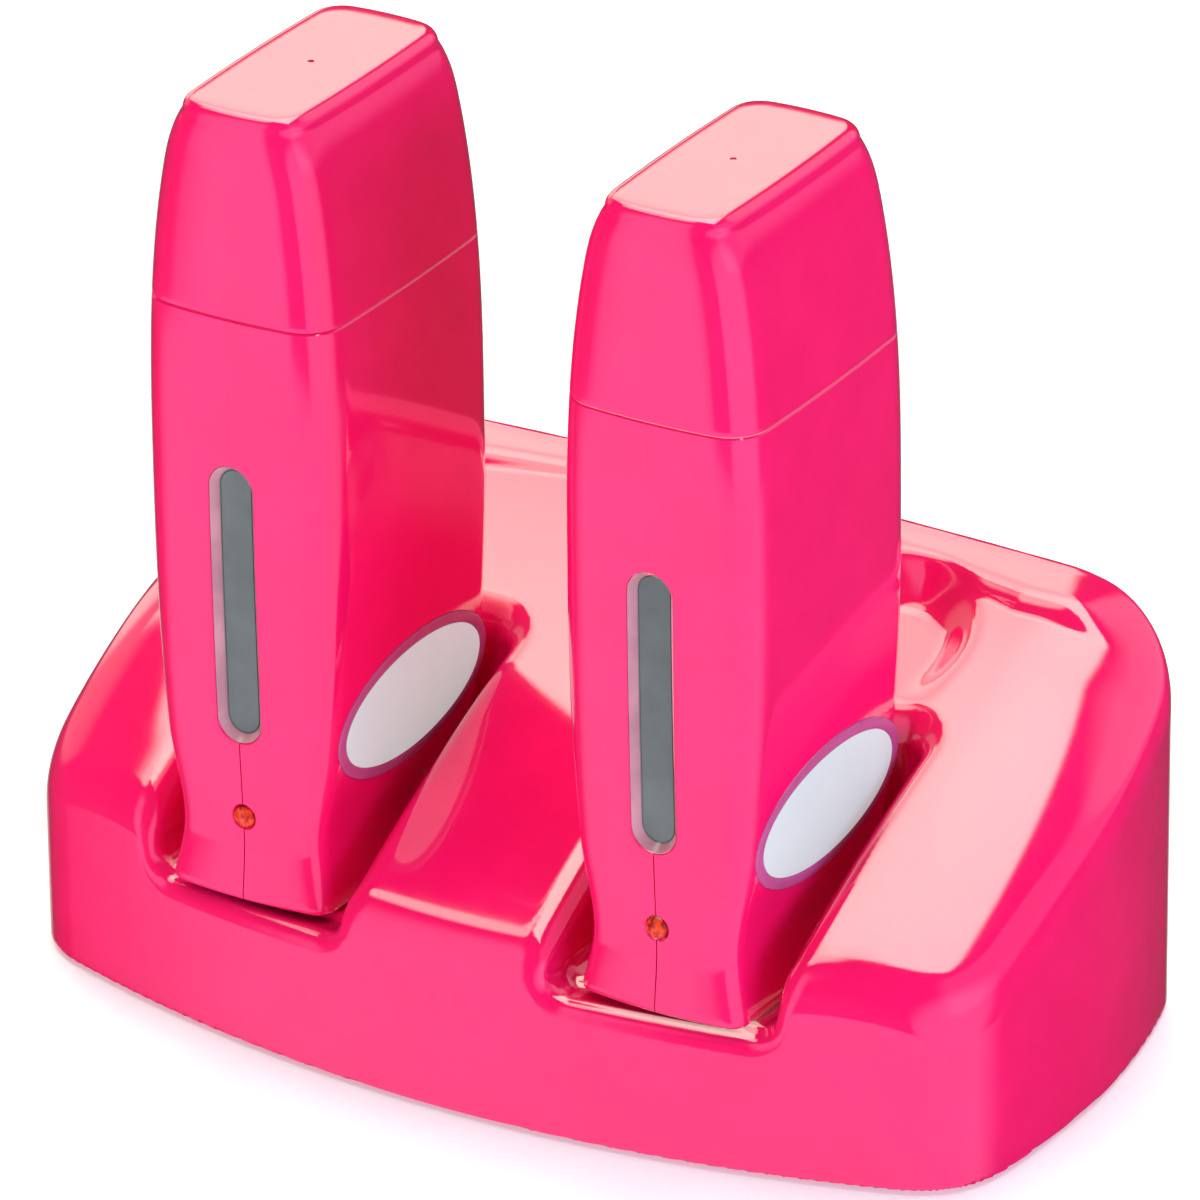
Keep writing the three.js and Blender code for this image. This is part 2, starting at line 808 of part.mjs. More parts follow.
const handsetStations = [
  { z: 0, ...footSection },
  { z: waistHeight, ...waistSection },
  { z: hipHeight, ...hipSection },
  { z: bellyHeight, ...bellySection },
  { z: handsetHeight - shoulderBelowTop, ...shoulderSection },
  { z: handsetHeight - brimBelowTop, ...brimSection },
  { z: handsetHeight, ...topSection },
];

// A smooth curve through the stations, without overshoot at the waist, the belly and the brim
function sectionAt(z) {
  const height = THREE.MathUtils.clamp(z, 0, handsetHeight);
  const last = handsetStations.length - 1;
  const upper = Math.max(1, handsetStations.findIndex((station) => station.z >= height));
  const value = (key) => {
    const slopeBetween = (i) => (handsetStations[i + 1][key] - handsetStations[i][key])
      / (handsetStations[i + 1].z - handsetStations[i].z);
    const tangentAt = (i) => {
      if (i === 0) return slopeBetween(0);
      if (i === last) return slopeBetween(last - 1);
      const before = slopeBetween(i - 1);
      const after = slopeBetween(i);
      return before * after <= 0 ? 0 : (2 * before * after) / (before + after);
    };
    const a = handsetStations[upper - 1];
    const b = handsetStations[upper];
    const span = b.z - a.z;
    const t = (height - a.z) / span;
    return a[key] * (2 * t ** 3 - 3 * t ** 2 + 1)
      + tangentAt(upper - 1) * span * (t ** 3 - 2 * t ** 2 + t)
      + b[key] * (3 * t ** 2 - 2 * t ** 3)
      + tangentAt(upper) * span * (t ** 3 - t ** 2);
  };
  return { halfWidth: value('halfWidth'), halfDepth: value('halfDepth'), corner: value('corner') };
}

const handsetSteps = { side: 2, corner: 3, end: 2 };

function handsetOutline(z, inset) {
  const { halfWidth, halfDepth, corner } = sectionAt(z);
  const endRadius = (halfWidth ** 2 + frontBow ** 2) / (2 * frontBow);
  const sideRadius = (halfDepth ** 2 + sideBow ** 2) / (2 * sideBow);
  const quarter = quarterOutline(
    { x: halfWidth - sideRadius, y: 0, radius: sideRadius },
    { x: 0, y: halfDepth - endRadius, radius: endRadius },
    corner,
    inset,
    handsetSteps,
  );
  return mirroredOutline(quarter, quarter);
}

const bodyLevels = [0, 6, waistHeight, 22, 30, hipHeight, 56, 76, bellyHeight, 130, seamHeight];
const roomLevels = [0, waistHeight, 28, hipHeight, 72, bellyHeight, seamHeight];
const capShares = [0, 0.3, 0.55, 0.74, 0.88, 0.96, 1];
const capRoomShares = [0, 0.4, 0.7, 0.9];

function capLevels(shares) {
  return shares.map((share) => seamHeight + (handsetHeight - seamHeight) * share);
}

// The handset's form between two heights, drawn in by the inset
function handsetForm(levels, inset, stretch = 0) {
  const last = levels.length - 1;
  const rings = levels.map((z, i) => {
    const height = z + (i === last ? stretch : 0) - (i === 0 ? stretch : 0);
    return handsetOutline(z, inset).map((p) => new THREE.Vector3(p.x, p.y, height));
  });
  return loft(rings);
}

function stadiumAlongY(halfWidth, bottom, top, front, rear) {
  const shape = new THREE.Shape();
  const radius = halfWidth;
  shape.absarc(0, top - radius, radius, 0, Math.PI);
  shape.absarc(0, bottom + radius, radius, Math.PI, Math.PI * 2);
  const geometry = new THREE.ExtrudeGeometry(new THREE.Shape(shape.getPoints(8)), {
    depth: rear - front,
    bevelEnabled: false,
  });
  geometry.rotateX(Math.PI / 2);
  geometry.translate(0, rear, 0);
  return toSolid(geometry);
}

function ellipseAlongX(halfDepth, halfHeight, centreY, centreZ, from, to) {
  const shape = new THREE.Shape();
  shape.absellipse(0, 0, halfDepth, halfHeight, 0, Math.PI * 2);
  const geometry = new THREE.ExtrudeGeometry(new THREE.Shape(shape.getPoints(26)), {
    depth: to - from,
    bevelEnabled: false,
  });
  geometry.rotateX(Math.PI / 2);
  geometry.rotateZ(Math.PI / 2);
  geometry.translate(from, centreY, centreZ);
  return toSolid(geometry);
}

const reach = bellySection.halfDepth + wallOverrun;
const frontToolRearY = -15;
const badgeLevels = [12, 22, 30, hipHeight, 56, 72];

function badgeLayer(outerInset, innerInset, halfDepth, halfHeight) {
  const outer = handsetForm(badgeLevels, outerInset);
  const inner = handsetForm(badgeLevels, innerInset, 1);
  return outer
    .subtract(inner)
    .intersect(ellipseAlongX(halfDepth, halfHeight, badgeOffset, badgeHeight, 5, reach));
}

function splitHalf(solid, sign) {
  const middle = sign * (gap / 2 + reach / 2);
  return solid.intersect(boxAbout(middle, 0, reach / 2, reach, -farBeyond, handsetHeight + farBeyond));
}

function footBossX() {
  return sectionAt(waistHeight).halfWidth - footBossInset;
}

function shellHalf(sign) {
  const outer = handsetForm(bodyLevels, 0);
  const room = handsetForm(roomLevels, shellWall, 1);
  const hollow = outer.subtract(room);
  const windowHole = stadiumAlongY(
    windowWidth / 2 + gap,
    windowBottom - gap,
    windowTop + gap,
    -reach,
    frontToolRearY,
  );
  const lampHole = cylinderAlongY(0, indicatorHeight, indicatorRadius + gap, -reach, frontToolRearY, 16);
  const badgeHole = badgeLayer(-shellWall, badgeRecess, badgeHalfDepth + gap, badgeHalfHeight + gap);
  const bossX = sign * footBossX();
  const bossBottom = footPlateThickness + gap;
  const boss = joinAll([
    uprightCylinder(bossX, 0, footBossRadius, bossBottom, bossBottom + footBossHeight, 14),
    boxAbout(
      bossX + sign * footBossInset * 0.4,
      0,
      footBossInset * 0.4,
      footBossRadius * 0.7,
      bossBottom,
      bossBottom + footBossHeight,
    ),
  ]).intersect(outer);
  const screwHole = uprightCylinder(bossX, 0, screwRadius + gap, -overrun, footScrewLength + 2 * gap, 10);
  const half = splitHalf(hollow.add(boss), sign);
  return cutAll(half, [windowHole, lampHole, badgeHole, screwHole]);
}

function handsetCap() {
  const outer = handsetForm(capLevels(capShares), 0);
  const room = handsetForm([...capLevels(capRoomShares), handsetHeight - capTopWall], capWall);
  const mouth = boxAbout(0, 0, reach, reach, seamHeight - overrun, seamHeight + gap);
  return cutAll(outer, [room, mouth]);
}

// Heating chamber, collar and what is fixed to them

const lipBottom = seamHeight - collarShelfDrop + gap;
const shelfTop = seamHeight - collarShelfDrop;
const chamberTop = lipBottom + chamberLipThickness;
const collarTop = seamHeight + collarRise;
const collarInnerInset = shellWall + gap + collarWall;

function chamberRectangle(grow) {
  return roundedRectangle(0, 0, chamberHalfWidth + grow, chamberHalfDepth + grow, chamberCorner + grow);
}

function heatingChamber() {
  const body = prism(chamberRectangle(chamberWall), chamberFloorHeight - chamberWall, chamberTop);
  const lip = prism(chamberRectangle(chamberWall + chamberLip), lipBottom, chamberTop)
    .intersect(prism(handsetOutline(collarTop, collarInnerInset + gap), lipBottom - gap, chamberTop + gap));
  const room = prism(chamberRectangle(0), chamberFloorHeight, chamberTop + overrun);
  const sight = stadiumAlongY(
    sightSlotWidth / 2,
    chamberFloorHeight + sightSlotRise,
    windowTop,
    -reach,
    0,
  );
  return cutAll(body.add(lip), [room, sight]);
}

function collar() {
  const skirtBottom = shelfTop - collarShelfThickness - collarSkirt;
  const levels = [skirtBottom, seamHeight];
  const inset = shellWall + gap;
  const outer = joinAll([
    handsetForm(levels, inset),
    prism(handsetOutline(collarTop, inset), seamHeight - overrun, collarTop),
  ]);
  const above = prism(handsetOutline(collarTop, collarInnerInset), shelfTop, collarTop + overrun);
  const below = prism(
    handsetOutline(skirtBottom, collarInnerInset),
    skirtBottom - overrun,
    shelfTop - collarShelfThickness,
  );
  const opening = prism(chamberRectangle(chamberWall + gap), skirtBottom - overrun, collarTop + overrun);
  return cutAll(outer, [above, below, opening]);
}

function heaterPlate() {
  const inner = -chamberHalfWidth - chamberWall - gap;
  return box(
    new THREE.Vector3(inner - heaterThickness, -heaterHalfDepth, heaterBottom),
    new THREE.Vector3(inner, heaterHalfDepth, heaterTop),
  );
}

const chamberUnderside = chamberFloorHeight - chamberWall - gap;

function thermostat() {
  return uprightCylinder(
    0,
    -sensorSpacing / 2,
    thermostatRadius,
    chamberUnderside - thermostatHeight,
    chamberUnderside,
    18,
  );
}

function thermalFuse() {
  const geometry = new THREE.CylinderGeometry(fuseRadius, fuseRadius, fuseLength, 12);
  geometry.rotateZ(Math.PI / 2);
  geometry.translate(0, sensorSpacing / 2, chamberUnderside - fuseRadius);
  return toSolid(geometry);
}

const windowLevels = [30, hipHeight, 56, 76, bellyHeight, 130];

function levelWindow() {
  const pane = handsetForm(windowLevels, gap)
    .subtract(handsetForm(windowLevels, shellWall + gap * 1.3, 1))
    .intersect(stadiumAlongY(windowWidth / 2, windowBottom, windowTop, -reach, frontToolRearY));
  const flange = handsetForm(windowLevels, shellWall + gap)
    .subtract(handsetForm(windowLevels, shellWall + gap + windowFlangeThickness, 1))
    .intersect(stadiumAlongY(
      windowWidth / 2 + windowFlange,
      windowBottom - windowFlange,
      windowTop + windowFlange,
      -reach,
      frontToolRearY,
    ));
  return pane.add(flange);
}

// Indicator lamp: a domed lens with a flange behind the shell, and its board
function frontFaceY(z) {
  return -sectionAt(z).halfDepth;
}

const lampInnerY = frontFaceY(indicatorHeight) + shellWall + gap;
const boardFrontY = frontFaceY(indicatorHeight) + shellWall + boardBehindShell;

function indicatorLens() {
  const noseY = frontFaceY(indicatorHeight) - indicatorProud;
  const length = boardFrontY - gap - noseY;
  const flangeStart = lampInnerY - noseY;
  const profile = [
    new THREE.Vector2(0, 0),
    new THREE.Vector2(indicatorRadius * 0.85, indicatorProud),
    new THREE.Vector2(indicatorRadius, indicatorProud * 2),
    new THREE.Vector2(indicatorRadius, flangeStart),
    new THREE.Vector2(indicatorRadius + indicatorFlange, flangeStart),
    new THREE.Vector2(indicatorRadius + indicatorFlange, flangeStart + indicatorFlange),
    new THREE.Vector2(indicatorRadius, flangeStart + indicatorFlange),
    new THREE.Vector2(indicatorRadius, length),
    new THREE.Vector2(0, length),
  ];
  const geometry = new THREE.LatheGeometry(profile, 12);
  geometry.translate(0, noseY, indicatorHeight);
  return toSolid(geometry);
}

function controlBoard() {
  return boxAbout(
    0,
    boardFrontY + boardThickness / 2,
    boardHalfWidth,
    boardThickness / 2,
    footPlateThickness + gap,
    footPlateThickness + gap + boardHeight,
  );
}

function footPlate() {
  const plate = prism(handsetOutline(footPlateThickness, shellWall + gap * 2.3), 0, footPlateThickness);
  const pinHoles = contactPlaces(0).map((place) => uprightCylinder(
    place.x,
    place.y - handsetY,
    contactPinRadius + 3 * gap,
    -overrun,
    footPlateThickness + overrun,
    12,
  ));
  const screwHoles = [-1, 1].map((sign) => joinAll([
    uprightCylinder(sign * footBossX(), 0, screwRadius + gap, -overrun, footPlateThickness + overrun, 10),
    uprightCylinder(sign * footBossX(), 0, screwHeadRadius + gap, -overrun, screwHeadHeight + gap, 12),
  ]));
  return cutAll(plate, [...pinHoles, ...screwHoles]);
}

function contactPad(y) {
  const bottom = footPlateThickness + gap;
  return uprightCylinder(0, y, contactPadRadius, bottom, bottom + contactPadThickness, 14);
}

function badgeFace() {
  return badgeLayer(
    -badgeProud,
    badgeRecess - gap,
    badgeHalfDepth - badgeRimWidth - gap,
    badgeHalfHeight - badgeRimWidth - gap,
  );
}

function badgeRing() {
  const outer = badgeLayer(-badgeProud - badgeRimRise, badgeRecess - gap, badgeHalfDepth, badgeHalfHeight);
  const hole = ellipseAlongX(
    badgeHalfDepth - badgeRimWidth,
    badgeHalfHeight - badgeRimWidth,
    badgeOffset,
    badgeHeight,
    0,
    reach + overrun,
  );
  return outer.subtract(hole);
}

// Assembly

function piece(name, solid, look) {
  const mesh = new THREE.Mesh(toGeometry(solid), new THREE.MeshStandardMaterial(look));
  mesh.name = name;
  return mesh;
}

function baseGroup() {
  const group = new THREE.Group();
  group.add(piece('base_shell', baseShell(), colours.pinkGloss));
  group.add(piece('base_plate', basePlate(), colours.blackPlastic));
  for (const { name, x, y } of footPlaces) {
    group.add(piece(`${name}_rubber_foot`, rubberFoot(x, y), colours.rubberBlack));
  }
  for (const { name, x, y } of postPlaces) {
    group.add(piece(`${name}_base_screw`, screwUp(x, y, plateBottom - gap, baseScrewLength), colours.steel));
  }
  for (const side of sides) {
    group.add(piece(`${side.name}_dock_block`, dockBlock(side.x), colours.pinkGloss));
    contactPlaces(side.x).forEach((place, i) => {
      group.add(piece(`${side.name}_dock_pin_${i + 1}`, dockPin(place.x, place.y), colours.brass));
    });
    group.add(piece(`${side.name}_dock_lead`, dockLead(side), colours.leadGrey));
  }
  group.add(piece('mains_inlet', mainsInlet(), colours.blackPlastic));
  inletPinXs().forEach((x, i) => {
    group.add(piece(`inlet_pin_${i + 1}`, inletPin(x), colours.brass));
  });
  group.add(piece('inlet_lead', inletLead(), colours.leadGrey));
  group.add(piece('terminal_block', terminalBlock(), colours.ceramic));
  return group;
}

function handsetGroup(side) {
  const group = new THREE.Group();
  const add = (name, solid, look) => group.add(piece(`${side.name}_${name}`, solid, look));
  add('shell_left_half', shellHalf(-1), colours.pinkGloss);
  add('shell_right_half', shellHalf(1), colours.pinkGloss);
  add('cap', handsetCap(), colours.pinkGloss);
  add('collar', collar(), colours.blackPlastic);
  add('heating_chamber', heatingChamber(), colours.aluminium);
  add('heater_plate', heaterPlate(), colours.ceramic);
  add('thermostat', thermostat(), colours.steel);
  add('thermal_fuse', thermalFuse(), colours.brass);
  add('level_window', levelWindow(), colours.smokedWindow);
  add('indicator_lens', indicatorLens(), colours.lampRed);
  add('control_board', controlBoard(), colours.boardGreen);
  add('foot_plate', footPlate(), colours.blackPlastic);
  add('badge_face', badgeFace(), colours.badgeSilver);
  add('badge_ring', badgeRing(), colours.badgeMauve);
  contactPlaces(0).forEach((place, i) => {
    add(`contact_pad_${i + 1}`, contactPad(place.y - handsetY), colours.brass);
  });
  [-1, 1].forEach((sign, i) => {
    const solid = screwUp(sign * footBossX(), 0, screwHeadHeight, footScrewLength - screwHeadHeight);
    add(`foot_screw_${i + 1}`, solid, colours.steel);
  });
  group.position.set(side.x, handsetY, slotFloorZ + plinthHeight);
  return group;
}

const waxHeater = new THREE.Group();
waxHeater.add(baseGroup());
for (const side of sides) {
  waxHeater.add(handsetGroup(side));
}

export default waxHeater;
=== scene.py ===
import json
import math

import bpy
import numpy as np
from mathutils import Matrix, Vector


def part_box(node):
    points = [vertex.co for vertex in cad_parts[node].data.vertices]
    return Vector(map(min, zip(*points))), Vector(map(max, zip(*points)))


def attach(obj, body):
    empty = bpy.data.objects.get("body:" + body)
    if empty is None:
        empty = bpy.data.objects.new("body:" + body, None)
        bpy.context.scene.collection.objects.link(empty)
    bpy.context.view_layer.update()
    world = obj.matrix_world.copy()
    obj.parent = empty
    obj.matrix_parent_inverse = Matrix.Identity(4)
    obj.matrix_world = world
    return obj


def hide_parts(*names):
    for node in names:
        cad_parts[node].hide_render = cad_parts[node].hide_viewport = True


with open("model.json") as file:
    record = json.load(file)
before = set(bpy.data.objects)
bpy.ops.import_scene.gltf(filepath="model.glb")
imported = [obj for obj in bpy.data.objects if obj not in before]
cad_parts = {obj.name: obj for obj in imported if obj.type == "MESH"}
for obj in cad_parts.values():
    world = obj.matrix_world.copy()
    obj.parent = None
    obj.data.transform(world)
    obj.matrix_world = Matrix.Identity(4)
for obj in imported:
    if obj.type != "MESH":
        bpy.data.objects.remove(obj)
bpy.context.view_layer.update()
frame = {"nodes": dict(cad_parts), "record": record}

import openvdb
from mathutils import Matrix, Vector

# Shapes are worked out in millimetres and become metres when a mesh is made
MM = 0.001
SIDES = ("left", "right")


def box_mm(node):
    low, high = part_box(node)
    return np.array(low) / MM, np.array(high) / MM


BASE_LOW, BASE_HIGH = box_mm("base_shell")
PLATE_TOP_Z = box_mm("base_plate")[1][2]

# Base outline, seen from above
BASE_HALF_LENGTH = BASE_HIGH[0]
BASE_FRONT_Y = BASE_LOW[1]
BASE_REAR_Y = BASE_HIGH[1]
BASE_BOTTOM_Z = BASE_LOW[2]
BASE_WIDEST_Y = -8.0
SIDE_RADIUS = 225.0
FRONT_RADIUS = 360.0
REAR_RADIUS = 1500.0
FRONT_CORNER = 27.0
REAR_CORNER = 30.0
BASE_WALL = 2.5

# Base section, seen from the side
SLOPE_START_Y = -68.0
SLOPE_START_Z = 50.0
SLOPE_TANGENT = 0.572
SLOPE_EASING = 0.00146
RIDGE_Z = BASE_HIGH[2]
RIDGE_FRONT_Y = BASE_REAR_Y - 9.0
RIDGE_FORWARD = 0.0013
RIDGE_FORWARD_REACH = 85.0
RAMP_STEEPNESS = 0.083
RAMP_FOOT_BLEND = 0.8
RIDGE_FADE_X = 94.0
RIDGE_FADE_REACH = 20.0
RIDGE_CROWN = 0.9
RIDGE_CROWN_WIDTH = 5.0
SHOULDER_WIDTH = 43.0
SHOULDER_REAR_WIDTH = 35.0
SHOULDER_NARROWS_Y = 35.0
SHOULDER_NARROWING_REACH = 30.0
SHOULDER_DROP = 25.0
SHOULDER_OVERHANG = 3.0
SHOULDER_SLOPE_SHARE = 0.3
FRONT_EDGE = 7.0
REAR_EDGE = 2.4
EDGE_CHANGE_Y = 30.0
EDGE_CHANGE_REACH = 60.0
BOTTOM_EDGE = 0.8
ROOM_EDGE = 0.4

# Dock slots and the arched well
SLOT_HALF_WIDTH = 28.5
SLOT_REAR_Y = 10.0
SLOT_CORNER = 8.0
SLOT_FLOOR_Z = 37.2
SLOT_FLOOR_FILLET = 6.0
LIP_EDGE = 4.5
LIP_HOLLOW = 1.4
LIP_HOLLOW_BLEND = 3.5
LIP_TILT = 0.12
SLOT_RIM = 7.2
SLOT_RIM_START = 2.0
SLOT_RIM_REACH = 12.0
WELL_HALF_WIDTH = 28.0
WELL_ARCH_Y = SLOT_REAR_Y + 18.0
WELL_ARCH = 35.5
WELL_FLOOR_Z = RIDGE_Z - 15.6
WELL_FLOOR_RISE = 0.1
WELL_WALL = 15.0

# Openings in the base that its inner parts fill
FIT = 0.3
OPENING_EDGE = 0.6
BLOCK_CORNER = 4.0
BLOCK_FLANGE = 3.0
BLOCK_HOLE_START_Z = 25.0
POST_RADIUS = 4.0
POST_FILLET = 0.5
INLET_CORNER = 0.8
INLET_FLANGE = 2.5
INLET_HOLE_DEPTH = 12.0

# Handset sections, measured from the underside of its foot: height, half width, half depth, corner
HANDSET_STATIONS = (
    (0.0, 23.2, 38.2, 5.0),
    (16.0, 20.6, 36.8, 5.5),
    (40.0, 23.9, 37.8, 6.5),
    (104.0, 27.0, 39.0, 10.0),
    (185.0, 22.1, 37.4, 9.5),
    (200.0, 16.8, 34.8, 8.5),
    (202.0, 15.2, 31.8, 7.0),
)
FRONT_BOW = 2.0
SIDE_BOW = 1.0
HANDSET_HEIGHT = 202.0
SEAM_HEIGHT = 151.5
SHELL_WALL = 2.2
CAP_WALL = 2.0
CAP_TOP_WALL = 2.6
CAP_BRIM = 3.2
CAP_INNER_EDGE = 3.0
FOOT_EDGE = 1.8
BODY_PAST_SEAM = 0.1
SEAM_BEVEL = 0.4
CAP_SEAM_EDGE = 0.3
PARTING_GAP = 0.15
CLOSED_GAP = 0.01
GATE_RADIUS = 0.8
GATE_DEPTH = 0.5
WALL_ROWS = 96
CAP_ROWS = 45

# Points along a quarter of a handset's outline, and round its window and its badge
SIDE_STEPS = 12
CORNER_STEPS = 9
END_STEPS = 8
WINDOW_END_STEPS = 16
BADGE_STEPS = 96

# Window, lamp and badge on the handset
WINDOW_HALF_WIDTH = 6.0
WINDOW_BOTTOM = 42.0
WINDOW_TOP = 114.0
WINDOW_EDGE = 0.4
WINDOW_GAP = 0.12
WINDOW_HOLE_DEPTH = 5.0
WINDOW_SET_BACK = 0.2
WINDOW_BEVEL = 1.6
WINDOW_SUNK = 2.4
WINDOW_THICKNESS = 0.8
PANEL_EDGE = 0.3
LAMP_HEIGHT = 22.0
LAMP_RADIUS = 2.8
LAMP_GAP = 0.12
LAMP_HOLE_EDGE = 0.7
LAMP_DOME = 0.9
LAMP_DEPTH = 7.0
BADGE_OFFSET = 1.6
BADGE_HEIGHT = 43.5
BADGE_HALF_DEPTH = 33.0
BADGE_HALF_HEIGHT = 17.6
BADGE_RIM = 3.0
BADGE_GAP = 0.15
BADGE_SET_BACK = 0.6

# How the base's surface is meshed: grid step, band kept round it, and the longest move of a point
VOXEL = 1.0
BAND = 2.5 * VOXEL
MESH_MARGIN = 3.0
DRAW_ROUNDS = 3
LONGEST_MOVE = 0.5
GRADIENT_STEP = 0.02
FLATTEST_GRADIENT = 0.05

# Angles from which an edge is shaded as sharp
CREASE = 35.0
HOUSING_CREASE = 50.0
PANE_CREASE = 25.0
BADGE_CREASE = 40.0


# Fields: negative inside, roughly a distance near the surface


def round_and(a, b, radius):
    """Where both fields are negative, with the edge between them rounded."""
    u = np.maximum(a + radius, 0.0)
    v = np.maximum(b + radius, 0.0)
    return np.minimum(np.maximum(a, b), -radius) + np.hypot(u, v)


def cut(a, b, radius):
    """Field a without field b, with a rounded rim."""
    return round_and(a, -b, radius)


def smooth_step(t):
    t = np.clip(t, 0.0, 1.0)
    return t * t * t * (t * (6.0 * t - 15.0) + 10.0)


def corner_centre(first, first_radius, second, second_radius, corner, ahead):
    """Centre of a corner circle inside two larger circles and touching both."""
    apart = second - first
    distance = np.linalg.norm(apart)
    first_reach = first_radius - corner
    second_reach = second_radius - corner
    along = (first_reach**2 - second_reach**2 + distance**2) / (2.0 * distance)
    across = math.sqrt(max(first_reach**2 - along**2, 0.0))
    unit = apart / distance
    turned = np.array([-unit[1], unit[0]])
    choices = (first + unit * along + turned * turn * across for turn in (1.0, -1.0))
    return max(choices, key=lambda centre: centre @ ahead)


def corner_field(x, y, first, first_radius, second, second_radius, corner, ahead):
    """Distance inside two circles, with their crossing rounded by a tangent corner."""
    centre = corner_centre(first, first_radius, second, second_radius, corner, ahead)
    one = (centre - first) / np.linalg.norm(centre - first)
    two = (centre - second) / np.linalg.norm(centre - second)
    turn = one[0] * two[1] - one[1] * two[0]
    u = x - centre[0]
    v = y - centre[1]
    beyond_one = (u * two[1] - v * two[0]) / turn
    beyond_two = (v * one[0] - u * one[1]) / turn
    in_first = np.hypot(x - first[0], y - first[1]) - first_radius
    in_second = np.hypot(x - second[0], y - second[1]) - second_radius
    round_part = np.hypot(u, v) - corner
    in_corner = (beyond_one > 0.0) & (beyond_two > 0.0)
    return np.where(in_corner, round_part, np.maximum(in_first, in_second))


def outline_field(x, y):
    side = np.array([BASE_HALF_LENGTH - SIDE_RADIUS, BASE_WIDEST_Y])
    front = np.array([0.0, BASE_FRONT_Y + FRONT_RADIUS])
    rear = np.array([0.0, BASE_REAR_Y - REAR_RADIUS])
    across = np.abs(x)
    near = corner_field(
        across, y, side, SIDE_RADIUS, front, FRONT_RADIUS, FRONT_CORNER, np.array([1.0, -1.0])
    )
    far = corner_field(
        across, y, side, SIDE_RADIUS, rear, REAR_RADIUS, REAR_CORNER, np.array([1.0, 1.0])
    )
    return np.where(y < BASE_WIDEST_Y, near, far)


def smooth_maximum(a, b, blend):
    nearness = np.maximum(blend - np.abs(a - b), 0.0) / blend
    return np.maximum(a, b) + nearness**2 * blend / 4.0


def top_height(x, y):
    """The slope and the ridge behind it, whose ramp curves forward and dies out at both ends."""
    along = y - SLOPE_START_Y
    slope = SLOPE_START_Z + SLOPE_TANGENT * along - SLOPE_EASING * along**2
    slope = slope - well_depth(x, y, slope)
    forward = RIDGE_FORWARD * np.minimum(np.abs(x), RIDGE_FORWARD_REACH) ** 2
    before_ridge = np.maximum(RIDGE_FRONT_Y - forward - y, 0.0)
    past_crown = np.maximum(y - BASE_REAR_Y + RIDGE_CROWN_WIDTH, 0.0) / RIDGE_CROWN_WIDTH
    ridge = RIDGE_Z - RAMP_STEEPNESS * before_ridge**2 - RIDGE_CROWN * past_crown**2
    ridge = ridge - well_depth(x, y, ridge)
    fade = smooth_step((np.abs(x) - RIDGE_FADE_X) / RIDGE_FADE_REACH)
    return slope + (smooth_maximum(slope, ridge, RAMP_FOOT_BLEND) - slope) * (1.0 - fade)


def ellipse_distance(a, b, width, height):
    """First-order distance to an ellipse's quarter, from coordinates in units of its half axes."""
    reach = np.hypot(a, b)
    steepness = np.hypot(a / width, b / height)
    apart = reach > 0.01
    local = np.where(apart, reach / np.where(apart, steepness, 1.0), np.minimum(width, height))
    return (reach - 1.0) * local


def top_field(x, y, z):
    """Below the top, whose shoulders are quarter ellipses that bow down to the side walls."""
    away = y - BASE_WIDEST_Y
    half = BASE_HALF_LENGTH - SIDE_RADIUS + np.sqrt(SIDE_RADIUS**2 - away**2)
    wall = half + SHOULDER_OVERHANG
    narrowed = smooth_step((y - SHOULDER_NARROWS_Y) / SHOULDER_NARROWING_REACH)
    width = SHOULDER_WIDTH - (SHOULDER_WIDTH - SHOULDER_REAR_WIDTH) * narrowed
    across = np.maximum((np.abs(x) - wall + width) / width, 0.0)
    up = np.maximum((z - top_height(x, y) + SHOULDER_DROP) / SHOULDER_DROP, 0.0)
    tilt = 1.0 / np.sqrt(1.0 + SLOPE_TANGENT**2 * SHOULDER_SLOPE_SHARE)
    return ellipse_distance(across, up, width, SHOULDER_DROP) * tilt


def slot_field(x, y, z, centre):
    """A slot; in front of its dock block the floor is lower and rises again towards the lip."""
    plan = round_and(np.abs(x - centre) - SLOT_HALF_WIDTH, y - SLOT_REAR_Y, SLOT_CORNER)
    ahead = box_mm("right_dock_block")[0][1] - y
    hollow = LIP_HOLLOW * smooth_step(ahead / LIP_HOLLOW_BLEND)
    rise = LIP_TILT * np.maximum(ahead - LIP_HOLLOW_BLEND / 2.0, 0.0)
    return round_and(plan, SLOT_FLOOR_Z - hollow + rise - z, SLOT_FLOOR_FILLET)


def well_depth(x, y, surface):
    """How far the scoop lies below a surface: nothing at its arched rim, all of it on its floor."""
    across = np.abs(x - handset_centre("right")[0]) / WELL_HALF_WIDTH
    along = np.maximum(y - WELL_ARCH_Y, 0.0) / WELL_ARCH
    inside = -ellipse_distance(across, along, WELL_HALF_WIDTH, WELL_ARCH)
    floor = WELL_FLOOR_Z + WELL_FLOOR_RISE * (y - SLOT_REAR_Y)
    return np.maximum(surface - floor, 0.0) * smooth_step(inside / WELL_WALL)


def block_field(x, y, low, high, corner):
    """An upright rounded rectangle between two corners, seen from above."""
    middle = (low + high) / 2.0
    half = (high - low) / 2.0
    return round_and(
        np.abs(x - middle[0]) - half[0], np.abs(y - middle[1]) - half[1], corner
    )


def handset_centre(side):
    low, high = box_mm(side + "_cap")
    return (low[0] + high[0]) / 2.0, (low[1] + high[1]) / 2.0


